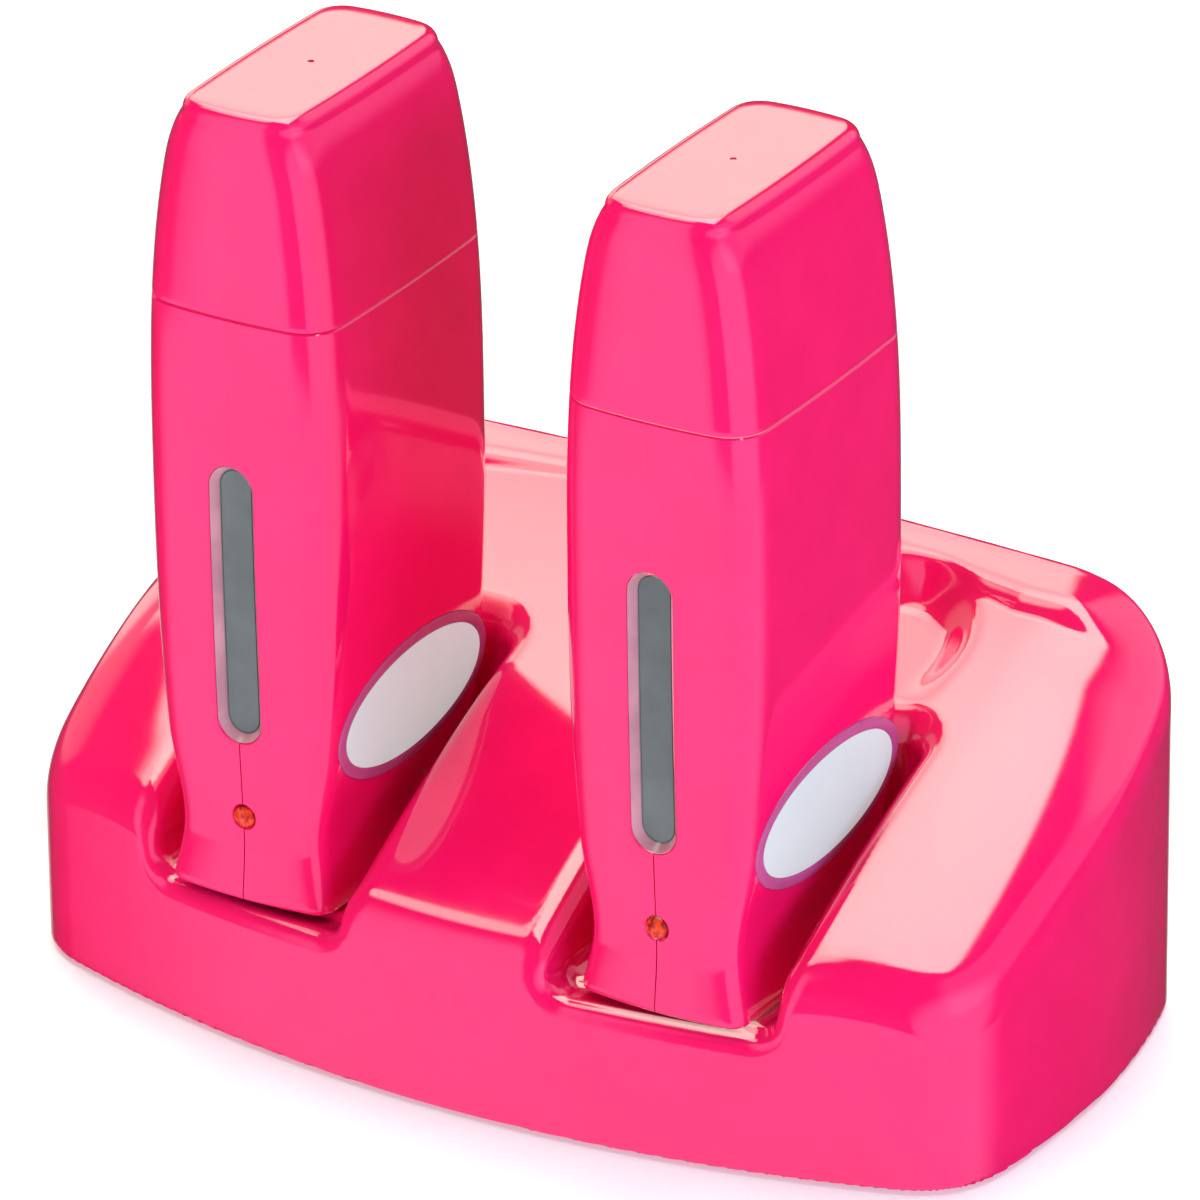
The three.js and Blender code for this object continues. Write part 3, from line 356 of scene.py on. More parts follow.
def outer_field(x, y, z):
    """The base's outer form without its underside, with its slots."""
    edge = REAR_EDGE + (FRONT_EDGE - REAR_EDGE) * smooth_step((EDGE_CHANGE_Y - y) / EDGE_CHANGE_REACH)
    body = round_and(outline_field(x, y), top_field(x, y, z), edge)
    above_floor = (z - SLOT_FLOOR_Z - SLOT_RIM_START) / SLOT_RIM_REACH
    rim = LIP_EDGE + (SLOT_RIM - LIP_EDGE) * smooth_step(above_floor)
    for side in SIDES:
        body = cut(body, slot_field(x, y, z, handset_centre(side)[0]), rim)
    return body


def post_places():
    for name in ("front_left", "front_right", "rear_left", "rear_right"):
        low, high = box_mm(name + "_base_screw")
        yield (low[0] + high[0]) / 2.0, (low[1] + high[1]) / 2.0


def base_field(x, y, z):
    """The housing: its wall, the posts in it, and the openings for the dock blocks and the inlet."""
    outer = outer_field(x, y, z)
    room = outer + BASE_WALL
    for post_x, post_y in post_places():
        post = np.hypot(x - post_x, y - post_y) - POST_RADIUS
        room = round_and(room, np.maximum(-post, PLATE_TOP_Z + FIT - z), POST_FILLET)
    shell = cut(outer, room, ROOM_EDGE)
    shell = round_and(shell, BASE_BOTTOM_Z - z, BOTTOM_EDGE)
    for side in SIDES:
        low, high = box_mm(side + "_dock_block")
        inward = BLOCK_FLANGE - FIT
        hole = block_field(x, y, low + inward, high - inward, BLOCK_CORNER)
        hole = np.maximum(hole, BLOCK_HOLE_START_Z - z)
        shell = cut(shell, hole, OPENING_EDGE)
    return cut(shell, inlet_field(x, y, z), OPENING_EDGE)


def inlet_field(x, y, z):
    """The opening for the mains inlet, through the rear wall."""
    low, high = box_mm("mains_inlet")
    inward = INLET_FLANGE - FIT
    across = np.abs(x) - high[0] + inward
    upright = np.abs(z - (low[2] + high[2]) / 2.0) - (high[2] - low[2]) / 2.0 + inward
    opening = round_and(across, upright, INLET_CORNER)
    return np.maximum(opening, BASE_REAR_Y - INLET_HOLE_DEPTH - y)


# Meshes


def new_object(name, vertices, faces):
    mesh = bpy.data.meshes.new(name)
    mesh.from_pydata((np.asarray(vertices) * MM).tolist(), [], faces)
    mesh.validate()
    mesh.update()
    thing = bpy.data.objects.new(name, mesh)
    bpy.context.scene.collection.objects.link(thing)
    return thing


def shade(thing, angle=CREASE):
    """Smooth shading, broken only at edges sharper than an angle."""
    mesh = thing.data
    mesh.polygons.foreach_set("use_smooth", [True] * len(mesh.polygons))
    mesh.set_sharp_from_angle(angle=math.radians(angle))
    return thing


def field_mesh(name, field, low, high):
    """The surface of a field as even quads, drawn onto the field's own zero level."""
    counts = np.ceil((high - low) / VOXEL).astype(int) + 1
    axes = [low[i] + VOXEL * np.arange(counts[i]) for i in range(3)]
    x, y, z = np.meshgrid(*axes, indexing="ij")
    values = field(x, y, z).astype(np.float32)
    grid = openvdb.FloatGrid(BAND)
    grid.copyFromArray(values.clip(-BAND, BAND))
    points, quads = grid.convertToQuads()
    points = points.astype(float) * VOXEL + low
    for _ in range(DRAW_ROUNDS):
        points = drawn_onto(points, field)
    return new_object(name, points, quads[:, ::-1].tolist())


def gradient(points, field):
    slopes = []
    for axis in range(3):
        ahead = points.copy()
        behind = points.copy()
        ahead[:, axis] += GRADIENT_STEP
        behind[:, axis] -= GRADIENT_STEP
        slopes.append((field(*ahead.T) - field(*behind.T)) / (2.0 * GRADIENT_STEP))
    return np.stack(slopes, 1)


def drawn_onto(points, field):
    """Points moved along the field's gradient, one step of Newton's method each."""
    value = field(*points.T)
    slope = gradient(points, field)
    steepness = np.maximum((slope**2).sum(1), FLATTEST_GRADIENT)
    move = -slope * (value / steepness)[:, None]
    size = np.linalg.norm(move, axis=1)
    limit = np.minimum(1.0, LONGEST_MOVE / np.maximum(size, 1e-9))
    return points + move * limit[:, None]


def tube_faces(rows, columns):
    """Quads between round rows of points."""
    faces = []
    for row in range(rows - 1):
        for i in range(columns):
            a = row * columns + i
            b = row * columns + (i + 1) % columns
            faces.append((a, b, b + columns, a + columns))
    return faces


def lathe(name, profile, steps, place, axis="z"):
    """A closed profile of (radius, height) turned about an axis; it starts and ends on the axis."""
    angles = np.linspace(0.0, 2.0 * math.pi, steps, endpoint=False)
    rings = profile[1:-1]
    points = [(0.0, 0.0, profile[0][1])]
    for radius, height in rings:
        points += [(radius * math.cos(a), radius * math.sin(a), height) for a in angles]
    points.append((0.0, 0.0, profile[-1][1]))
    faces = [tuple(i + 1 for i in face) for face in tube_faces(len(rings), steps)]
    last = len(points) - 1
    start = 1 + (len(rings) - 1) * steps
    for i in range(steps):
        faces.append((0, 1 + (i + 1) % steps, 1 + i))
        faces.append((last, start + i, start + (i + 1) % steps))
    points = np.array(points)
    if axis == "y":
        points = points[:, [0, 2, 1]] * np.array([-1.0, 1.0, 1.0])
    return shade(new_object(name, points + np.asarray(place), faces))


# Handset surfaces


def section(z):
    """Half width, half depth and corner radius at a height, on a smooth curve through the stations."""
    heights = [s[0] for s in HANDSET_STATIONS]
    z = min(max(z, 0.0), HANDSET_HEIGHT)
    upper = max(1, next(i for i, h in enumerate(heights) if h >= z))
    last = len(heights) - 1

    def slope(i, key):
        rise = HANDSET_STATIONS[i + 1][key] - HANDSET_STATIONS[i][key]
        return rise / (heights[i + 1] - heights[i])

    def tangent(i, key):
        if i == 0 or i == last:
            return slope(min(i, last - 1), key)
        before = slope(i - 1, key)
        after = slope(i, key)
        if before * after <= 0:
            return 0.0
        gentler = min(abs(before), abs(after))
        return math.copysign(min(abs(before + after) / 2.0, 3.0 * gentler), before)

    span = heights[upper] - heights[upper - 1]
    t = (z - heights[upper - 1]) / span
    result = []
    for key in (1, 2, 3):
        result.append(
            HANDSET_STATIONS[upper - 1][key] * (2 * t**3 - 3 * t**2 + 1)
            + tangent(upper - 1, key) * span * (t**3 - 2 * t**2 + t)
            + HANDSET_STATIONS[upper][key] * (3 * t**2 - 2 * t**3)
            + tangent(upper, key) * span * (t**3 - t**2)
        )
    return result


def bow_radius(half, bow):
    """Radius of the arc that rises by a bow over half its chord."""
    return (half**2 + bow**2) / (2.0 * bow)


def quarter(half_width, half_depth, corner, inset):
    """A quarter of the bowed outline, from its widest point to the middle of its +Y end."""
    side_radius = bow_radius(half_depth, SIDE_BOW)
    end_radius = bow_radius(half_width, FRONT_BOW)
    side = np.array([half_width - side_radius, 0.0])
    end = np.array([0.0, half_depth - end_radius])
    centre = corner_centre(side, side_radius, end, end_radius, corner, np.array([1.0, 1.0]))
    first = math.atan2(centre[1] - side[1], centre[0] - side[0])
    second = math.atan2(centre[1] - end[1], centre[0] - end[0])
    points = []
    for middle, radius, start, stop, count in (
        (side, side_radius, 0.0, first, SIDE_STEPS),
        (centre, corner, first, second, CORNER_STEPS),
        (end, end_radius, second, math.pi / 2.0, END_STEPS),
    ):
        angles = np.linspace(start, stop, count + 1)[1 if points else 0:]
        reach = radius - inset
        points += [(middle[0] + reach * math.cos(a), middle[1] + reach * math.sin(a)) for a in angles]
    return np.array(points)


def half_outline(z, inset):
    """The +X half of the outline, from the middle of the front to the middle of the rear."""
    rear = quarter(*section(z), inset)
    front = rear[:0:-1] * np.array([1.0, -1.0])
    return np.vstack([front, rear])


def whole_outline(z, inset):
    right = half_outline(z, inset)
    left = right[-2:0:-1] * np.array([-1.0, 1.0])
    return np.vstack([right, left])


def front_y(x, z):
    """The front face's place at a point of it."""
    half_width, half_depth, _ = section(z)
    radius = bow_radius(half_width, FRONT_BOW)
    return -(half_depth - radius + math.sqrt(radius**2 - x**2))


def side_x(y, z):
    """The wide face's place at a point of it."""
    half_width, half_depth, _ = section(z)
    radius = bow_radius(half_depth, SIDE_BOW)
    return half_width - radius + math.sqrt(radius**2 - y**2)


def foot_levels(top):
    """Heights and insets of the handset's wall, from its rounded foot to its top."""
    turns = np.linspace(math.pi / 2.0, 0.0, 4)
    levels = [(FOOT_EDGE * (1 - math.sin(a)), FOOT_EDGE * (1 - math.cos(a))) for a in turns]
    return levels + [(z, 0.0) for z in np.linspace(FOOT_EDGE, top, WALL_ROWS)[1:]]


def shell_half(name, sign):
    """One half of the handset's body as a closed wall, open at the middle, the top and the foot."""
    rows = []
    seam = SEAM_HEIGHT + BODY_PAST_SEAM
    levels = foot_levels(seam - SEAM_BEVEL) + [(seam, SEAM_BEVEL)]
    for z, inset in levels:
        outer = half_outline(z, inset)
        inner = half_outline(z, SHELL_WALL)[::-1]
        ring = np.vstack([outer, inner])
        gap = PARTING_GAP if z < WINDOW_BOTTOM else CLOSED_GAP
        ring[:, 0] = np.maximum(ring[:, 0], gap)
        rows.append(np.column_stack([ring * (sign, 1.0), np.full(len(ring), z)]))
    columns = len(rows[0])
    faces = tube_faces(len(rows), columns)
    half = columns // 2
    top = (len(rows) - 1) * columns
    for i in range(half - 1):
        across = (i, columns - 1 - i, columns - 2 - i, i + 1)
        faces.append(across)
        faces.append(tuple(top + j for j in across[::-1]))
    if sign < 0:
        faces = [face[::-1] for face in faces]
    return new_object(name, np.vstack(rows), faces)


def cap_levels(brim):
    """Heights and insets of the cap's outside, from its rounded lower edge to its brim."""
    bottom = SEAM_HEIGHT + FIT
    edge = CAP_SEAM_EDGE
    turns = np.linspace(math.pi / 2.0, 0.0, 4)
    levels = [(bottom + edge * (1 - math.sin(a)), edge * (1 - math.cos(a))) for a in turns]
    start = levels[-1][0]
    shares = np.linspace(0.0, 1.0, CAP_ROWS + 1)[1:]
    return levels + [(start + (brim - start) * s, 0.0) for s in shares]


def stack(name, rows, flip=False):
    """A closed surface through round rows of points, its first and last rows filled."""
    columns = len(rows[0])
    faces = tube_faces(len(rows), columns)
    faces.append(tuple(range(columns))[::-1])
    faces.append(tuple((len(rows) - 1) * columns + i for i in range(columns)))
    if flip:
        faces = [face[::-1] for face in faces]
    return new_object(name, np.vstack(rows), faces)


def outline_row(z, inset, height=None):
    """The outline at a height of the handset, which may be laid at another height."""
    points = whole_outline(z, inset)
    return np.column_stack([points, np.full(len(points), z if height is None else height)])


def rounded_over(edge_z, inset, edge, steps):
    """Rows of the handset's outline that turn inward over an edge, up to the level above it."""
    rows = []
    for a in np.linspace(0.0, math.pi / 2.0, steps + 1)[1:]:
        rows.append(outline_row(edge_z, inset + edge * (1 - math.cos(a)), edge_z + edge * math.sin(a)))
    return rows


def cap_cover(name):
    brim = HANDSET_HEIGHT - CAP_BRIM
    outside = [outline_row(z, inset) for z, inset in cap_levels(brim)]
    outside += rounded_over(brim, 0.0, CAP_BRIM, 8)
    outside += shrunk(outside[-1], (0.9, 0.7, 0.45, 0.2, 0.05))
    inner_brim = HANDSET_HEIGHT - CAP_TOP_WALL - CAP_INNER_EDGE
    inside = [outline_row(z, CAP_WALL) for z in np.linspace(SEAM_HEIGHT + FIT, inner_brim, 16)]
    inside += rounded_over(inner_brim, CAP_WALL, CAP_INNER_EDGE, 4)
    inside += shrunk(inside[-1], (0.6, 0.2))
    return stack(name, inside[::-1] + outside)


def gate_cutter():
    """The small round mark that moulding leaves in the middle of the cap's top."""
    r = GATE_RADIUS
    d = GATE_DEPTH
    above = 2.0
    profile = ((0.0, -d), (r * 0.8, -d * 0.9), (r, -d * 0.6), (r, above), (0.0, above))
    return lathe("gate_cutter", profile, 24, (0.0, 0.0, HANDSET_HEIGHT))


def shrunk(row, shares):
    """Rows that close a flat face towards its middle."""
    middle = row.mean(0)
    return [middle + (row - middle) * share for share in shares]


def stadium(half_width, bottom, top):
    """An upright round-ended outline, as (x, z) points."""
    r = half_width
    upper_turns = np.linspace(0.0, math.pi, WINDOW_END_STEPS + 1)
    upper = [(r * math.cos(a), top - r + r * math.sin(a)) for a in upper_turns]
    lower = [(-x, bottom + top - z) for x, z in upper]
    straight = top - bottom - 2 * r
    rise = np.linspace(0.0, 1.0, 14)[1:-1]
    left = [(-r, top - r - straight * t) for t in rise]
    right = [(r, bottom + r + straight * t) for t in rise]
    return np.array(upper + left + lower + right)


def window_row(grow, depth):
    """A row of points round the window, on the front face and set back from it."""
    points = stadium(WINDOW_HALF_WIDTH + grow, WINDOW_BOTTOM - grow, WINDOW_TOP + grow)
    return np.array([(x, front_y(x, z) + depth, z) for x, z in points])


def window_cutter():
    """The window's opening, with a rounded rim, from in front of the front face to behind its wall."""
    edge = WINDOW_EDGE
    gap = WINDOW_GAP
    rows = [window_row(edge + gap, -4.0), window_row(edge + gap, -0.02)]
    for a in np.linspace(0.0, math.pi / 2.0, 5)[1:]:
        rows.append(window_row(edge * (1 - math.sin(a)) + gap, edge * (1 - math.cos(a))))
    rows.append(window_row(gap, WINDOW_HOLE_DEPTH))
    return stack("window_cutter", rows, flip=True)


def window_pane(name):
    """A smoked pane with a wide bevel round its sunken panel, following the front face."""
    outer = stadium(WINDOW_HALF_WIDTH, WINDOW_BOTTOM, WINDOW_TOP)
    spine = outer.copy()
    spine[:, 0] = 0.0
    spine[:, 1] = np.clip(
        outer[:, 1], WINDOW_BOTTOM + WINDOW_HALF_WIDTH, WINDOW_TOP - WINDOW_HALF_WIDTH
    )

    def row(inset, depth):
        points = outer + (spine - outer) * (inset / WINDOW_HALF_WIDTH)
        return np.array([(x, front_y(x, z) + depth, z) for x, z in points])

    middle = WINDOW_HALF_WIDTH - 0.02
    panel = WINDOW_BEVEL + PANEL_EDGE
    front = WINDOW_SET_BACK
    deep = front + WINDOW_SUNK
    rows = [row(inset, deep) for inset in np.linspace(middle, panel, 5)]
    rows.append(row(panel - 0.1, deep + 0.3))
    rows.append(row(WINDOW_BEVEL, deep + 0.1))
    first_rim = len(rows)
    for share in (0.1, 0.4, 0.7, 0.95):
        rows.append(row(WINDOW_BEVEL * (1 - share), deep - (deep - front) * share))
    rows.append(row(0.0, front + 0.15))
    rows.append(row(0.0, deep + WINDOW_THICKNESS))
    last_rim = len(rows)
    rows += [row(inset, deep + WINDOW_THICKNESS) for inset in np.linspace(0.5, middle, 5)]
    pane = shade(stack(name, rows, flip=True), PANE_CREASE)
    # The rim mark is where the pane's bevel gets a painted highlight of pale pink.
    rim = pane.data.attributes.new("rim", "FLOAT", "POINT")
    columns = len(outer)
    marks = [float(first_rim <= i // columns < last_rim) for i in range(len(rows) * columns)]
    rim.data.foreach_set("value", marks)
    return pane


def lamp_cutter():
    """The lamp's round opening, with a rounded rim."""
    hole = LAMP_RADIUS + LAMP_GAP
    rim = hole + LAMP_HOLE_EDGE
    profile = [(0.0, -4.0), (rim, -4.0), (rim, -0.05), (hole + 0.25, 0.25), (hole, 0.8)]
    profile += [(hole, LAMP_DEPTH - 1.0), (0.0, LAMP_DEPTH - 1.0)]
    return lathe("lamp_cutter", profile, 40, lamp_place(), "y")


def lamp_lens(name):
    """A domed round lens."""
    r = LAMP_RADIUS
    profile = [(0.0, -LAMP_DOME), (r * 0.35, -0.84), (r * 0.65, -0.62), (r * 0.88, -0.2), (r, 0.4)]
    profile += [(r, LAMP_DEPTH), (0.0, LAMP_DEPTH)]
    return lathe(name, profile, 40, lamp_place(), "y")


def lamp_place():
    return 0.0, front_y(0.0, LAMP_HEIGHT), LAMP_HEIGHT


def badge_row(half_depth, half_height, lift):
    """A row of points round the badge, on the wide face and lifted off it."""
    angles = np.linspace(0.0, 2.0 * math.pi, BADGE_STEPS, endpoint=False)
    points = []
    for a in angles:
        y = BADGE_OFFSET + half_depth * math.cos(a)
        z = BADGE_HEIGHT + half_height * math.sin(a)
        points.append((side_x(y, z) + lift, y, z))
    return np.array(points)


def badge_rows(half_depth, half_height, profile):
    """Rows from a profile of (distance in from the edge, lift)."""
    return [badge_row(half_depth - inset, half_height - inset, lift) for inset, lift in profile]


def badge_cutter():
    half_depth = BADGE_HALF_DEPTH + BADGE_GAP
    half_height = BADGE_HALF_HEIGHT + BADGE_GAP
    rows = badge_rows(half_depth, half_height, ((0.0, -BADGE_SET_BACK - 0.1), (0.0, 3.0)))
    return stack("badge_cutter", rows)


def badge_plate(name):
    """The bare oval plate, slightly domed."""
    half_depth = BADGE_HALF_DEPTH - BADGE_RIM - 0.05
    half_height = BADGE_HALF_HEIGHT - BADGE_RIM - 0.05
    lifts = [(0.0, -BADGE_SET_BACK), (0.0, 0.0), (0.12, 0.22), (0.4, 0.3)]
    for share in (0.25, 0.5, 0.75, 0.95):
        lifts.append((half_height * share, 0.3 + 0.15 * share))
    return shade(stack(name, badge_rows(half_depth, half_height, lifts)), BADGE_CREASE)


def badge_rim(name):
    """A rounded oval band round the badge's plate."""
    profile = [(BADGE_RIM, -BADGE_SET_BACK), (0.0, -BADGE_SET_BACK), (0.0, 0.1)]
    for a in np.linspace(0.15, math.pi - 0.15, 8):
        profile.append((BADGE_RIM / 2 - BADGE_RIM / 2 * math.cos(a), 0.1 + 0.35 * math.sin(a)))
    profile.append((BADGE_RIM, 0.1))
    rows = badge_rows(BADGE_HALF_DEPTH, BADGE_HALF_HEIGHT, profile)
    columns = len(rows[0])
    faces = tube_faces(len(rows), columns)
    last = (len(rows) - 1) * columns
    for i in range(columns):
        j = (i + 1) % columns
        faces.append((last + i, last + j, j, i))
    return shade(new_object(name, np.vstack(rows), faces), BADGE_CREASE)


def boolean_cut(thing, *cutters):
    """A piece with cutters taken out of it for good."""
    for cutter in cutters:
        modifier = thing.modifiers.new("cut", "BOOLEAN")
        modifier.operation = "DIFFERENCE"
        modifier.solver = "EXACT"
        modifier.object = cutter
    bpy.context.view_layer.update()
    depsgraph = bpy.context.evaluated_depsgraph_get()
    mesh = bpy.data.meshes.new_from_object(thing.evaluated_get(depsgraph))
    thing.modifiers.clear()
    old = thing.data
    thing.data = mesh
    mesh.name = thing.name
    bpy.data.meshes.remove(old)
    return thing


# Placing


def place(thing, body, slot_name, material, *replaced):
    """Hand a finished piece over: its material, its body and the solids that it stands for. The slot
    name is not used.
    """
    thing.data.materials.clear()
    thing.data.materials.append(material)
    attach(thing, body)
    unmirrored(thing, thing.name)
    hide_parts(*replaced)


def moved(thing, x, y, z):
    thing.data.transform(Matrix.Translation(Vector((x, y, z)) * MM))
    thing.data.update()
    return thing


# Materials


def new_material(name):
    material = bpy.data.materials.new(name)
    material.use_nodes = True
    tree = material.node_tree
    return material, tree, tree.nodes["Principled BSDF"]


def noise(tree, scale, detail=3.0, roughness=0.5):
    where = tree.nodes.new("ShaderNodeTexCoord")
    node = tree.nodes.new("ShaderNodeTexNoise")
    node.inputs["Scale"].default_value = scale
    node.inputs["Detail"].default_value = detail
    node.inputs["Roughness"].default_value = roughness
    tree.links.new(where.outputs["Object"], node.inputs["Vector"])
    return node.outputs["Fac"]


def ramp(tree, source, stops):
    node = tree.nodes.new("ShaderNodeValToRGB")
    elements = node.color_ramp.elements
    while len(elements) < len(stops):
        elements.new(0.5)
    for element, (position, colour) in zip(elements, stops):
        element.position = position
        element.color = (*colour, 1.0)
    tree.links.new(source, node.inputs["Fac"])
    return node.outputs["Color"]


def spread(tree, source, low, high):
    """A noise's usual range stretched to two values."""
    node = tree.nodes.new("ShaderNodeMapRange")
    node.inputs["From Min"].default_value = 0.3
    node.inputs["From Max"].default_value = 0.7
    node.inputs["To Min"].default_value = low
    node.inputs["To Max"].default_value = high
    tree.links.new(source, node.inputs["Value"])
    return node.outputs["Result"]


def bump(tree, shader, height, distance):
    node = tree.nodes.new("ShaderNodeBump")
    node.inputs["Distance"].default_value = distance
    node.inputs["Strength"].default_value = 1.0
    tree.links.new(height, node.inputs["Height"])
    tree.links.new(node.outputs["Normal"], shader.inputs["Normal"])


def plastic(name, deep, light, roughness, scale=60.0, grain=0.00002, coat=0.0):
    """Moulded plastic: a slow drift between two colours, uneven gloss and a faint orange-peel."""
    material, tree, shader = new_material(name)
    drift = noise(tree, scale, 4.0, 0.6)
    tree.links.new(ramp(tree, drift, ((0.35, deep), (0.65, light))), shader.inputs["Base Color"])
    gloss = noise(tree, scale * 5.0, 2.0)
    tree.links.new(spread(tree, gloss, roughness[0], roughness[1]), shader.inputs["Roughness"])
    bump(tree, shader, noise(tree, scale * 14.0, 2.0), grain)
    shader.inputs["Coat Weight"].default_value = coat
    shader.inputs["Coat Roughness"].default_value = 0.05
    shader.inputs["Coat IOR"].default_value = 1.6
    return material


def metal(name, deep, light, roughness, scale=400.0):
    material, tree, shader = new_material(name)
    shade_noise = noise(tree, scale, 4.0, 0.6)
    tree.links.new(ramp(tree, shade_noise, ((0.3, deep), (0.7, light))), shader.inputs["Base Color"])
    shader.inputs["Metallic"].default_value = 1.0
    tree.links.new(
        spread(tree, noise(tree, scale * 2.0), roughness[0], roughness[1]),
        shader.inputs["Roughness"],
    )
    bump(tree, shader, noise(tree, scale * 6.0), 0.00001)
    return material


pink = plastic(
    "pink_plastic", (0.79, 0.004, 0.106), (0.85, 0.006, 0.118), (0.08, 0.12), 40.0, 0.00001, 1.0
)
smoked = plastic("window_plastic", (0.068, 0.096, 0.086), (0.114, 0.156, 0.141), (0.1, 0.16), 25.0)
lamp_red = plastic("lamp_plastic", (0.30, 0.004, 0.002), (0.95, 0.085, 0.02), (0.08, 0.15), 620.0)
silver = plastic("badge_silver", (0.21, 0.32, 0.31), (0.25, 0.36, 0.35), (0.4, 0.5), 30.0, 0.000004)
mauve = plastic("badge_mauve", (0.41, 0.075, 0.21), (0.45, 0.09, 0.24), (0.3, 0.36), 60.0, 0.000002)
black = plastic("black_plastic", (0.012, 0.012, 0.014), (0.03, 0.03, 0.033), (0.45, 0.6), 300.0, 0.00006)
rubber = plastic("black_rubber", (0.012, 0.012, 0.012), (0.03, 0.03, 0.03), (0.75, 0.9), 400.0, 0.00008)
alloy = metal("aluminium", (0.5, 0.51, 0.53), (0.62, 0.63, 0.65), (0.3, 0.45))
steel = metal("steel", (0.4, 0.41, 0.43), (0.52, 0.53, 0.55), (0.25, 0.4))
brass = metal("brass", (0.55, 0.37, 0.11), (0.68, 0.48, 0.17), (0.2, 0.32))
ceramic = plastic("ceramic", (0.72, 0.69, 0.62), (0.82, 0.79, 0.72), (0.55, 0.7), 250.0, 0.00005)
board = plastic("board_green", (0.015, 0.12, 0.045), (0.03, 0.17, 0.07), (0.3, 0.4), 200.0)
lead = plastic("lead_grey", (0.2, 0.21, 0.23), (0.27, 0.28, 0.3), (0.5, 0.6), 200.0)


def tint_rim_with_painted_highlight(material, deep, light):
    """A second drift of colours where a mesh is marked as rim, used for a painted highlight."""
    tree = material.node_tree
    shader = tree.nodes["Principled BSDF"]
    mark = tree.nodes.new("ShaderNodeAttribute")
    mark.attribute_name = "rim"
    mix = tree.nodes.new("ShaderNodeMix")
    mix.data_type = "RGBA"
    tree.links.new(mark.outputs["Fac"], mix.inputs["Factor"])
    tree.links.new(shader.inputs["Base Color"].links[0].from_socket, mix.inputs["A"])
    tree.links.new(ramp(tree, noise(tree, 70.0), ((0.35, deep), (0.65, light))), mix.inputs["B"])
    tree.links.new(mix.outputs["Result"], shader.inputs["Base Color"])


def painted_glow(material, colour):
    """Painted light: a faint emission that keeps a plate pale and grey under the pink light bounced onto
    it, though the plate is no lamp.
    """
    shader = material.node_tree.nodes["Principled BSDF"]
    shader.inputs["Emission Color"].default_value = (*colour, 1.0)
    shader.inputs["Emission Strength"].default_value = 1.0


# Painted highlight: the pane's bevelled rim is coloured pale pink, the frame's pink as if lit.
tint_rim_with_painted_highlight(smoked, (0.42, 0.21, 0.24), (0.60, 0.30, 0.33))
# Painted light: the silver badge plate glows faintly so that it stays pale and grey.
painted_glow(silver, (0.40, 0.40, 0.39))

SLOT_MATERIALS = {
    "pink_plastic": pink,
    "window_plastic": smoked,
    "lamp_plastic": lamp_red,
    "badge_silver": silver,
    "badge_mauve": mauve,
    "black_plastic": black,
    "black_rubber": rubber,
    "aluminium": alloy,
    "steel": steel,
    "brass": brass,
    "ceramic": ceramic,
    "board_green": board,
    "lead_grey": lead,
}


def unmirrored(thing, name):
    """Keep the right handset out of mirror images: in the photograph the base doesn't show it."""
    thing.visible_glossy = not name.startswith("right_")


def dress_cad_nodes():
    """The part's own solids, each in the material of its slot."""
    slots = {row["node"]: row["material_slot"] for row in frame["record"]["subparts"]}
    for name, thing in frame["nodes"].items():
        thing.data.materials.clear()
        thing.data.materials.append(SLOT_MATERIALS[slots[name]])
        unmirrored(thing, name)


def make_base():
    low = BASE_LOW - MESH_MARGIN
    high = BASE_HIGH + MESH_MARGIN
    housing = field_mesh("base_housing", base_field, low, high)
    place(shade(housing, HOUSING_CREASE), "base", "pink_plastic", pink, "base_shell")


def make_handset(side):
    body = "handset_" + side
    x, y = handset_centre(side)
    z = box_mm(side + "_shell_left_half")[0][2]
    window = window_cutter()
    badge = badge_cutter()
    lamp = lamp_cutter()
    for name, sign in (("left", -1.0), ("right", 1.0)):
        shell = shell_half(f"{side}_body_{name}", sign)
        cutters = (window, lamp, badge) if sign > 0 else (window, lamp)
        boolean_cut(shell, *cutters)
        moved(shade(shell), x, y, z)
        place(shell, body, "pink_plastic", pink, f"{side}_shell_{name}_half")
    gate = gate_cutter()
    cover = moved(shade(boolean_cut(cap_cover(side + "_cap_cover"), gate)), x, y, z)
    for cutter in (window, badge, lamp, gate):
        bpy.data.objects.remove(cutter)
    place(cover, "cap_" + side, "pink_plastic", pink, side + "_cap")
    pane = moved(window_pane(side + "_window_pane"), x, y, z)
    place(pane, body, "window_plastic", smoked, side + "_level_window")
    plate = moved(badge_plate(side + "_badge_plate"), x, y, z)
    place(plate, body, "badge_silver", silver, side + "_badge_face")
    rim = moved(badge_rim(side + "_badge_rim"), x, y, z)
    place(rim, body, "badge_mauve", mauve, side + "_badge_ring")
    lens = moved(lamp_lens(side + "_lamp_lens"), x, y, z)
    place(lens, body, "lamp_plastic", lamp_red, side + "_indicator_lens")


# Camera, matched to the photograph, and its studio

CAMERA_AZIMUTH = 31.16
CAMERA_ELEVATION = 26.08
CAMERA_ROLL = -0.62
CAMERA_DISTANCE = 2.6
CAMERA_TARGET = Vector((0.00064, 0.0, 0.10163))
PHOTOGRAPH_WIDTH = 1200
PIXELS_PER_MM = 4.23
FRAME_WIDTH = PHOTOGRAPH_WIDTH / PIXELS_PER_MM * MM
SENSOR_WIDTH = 36.0
FLOOR_HALF_SIZE = 6000.0


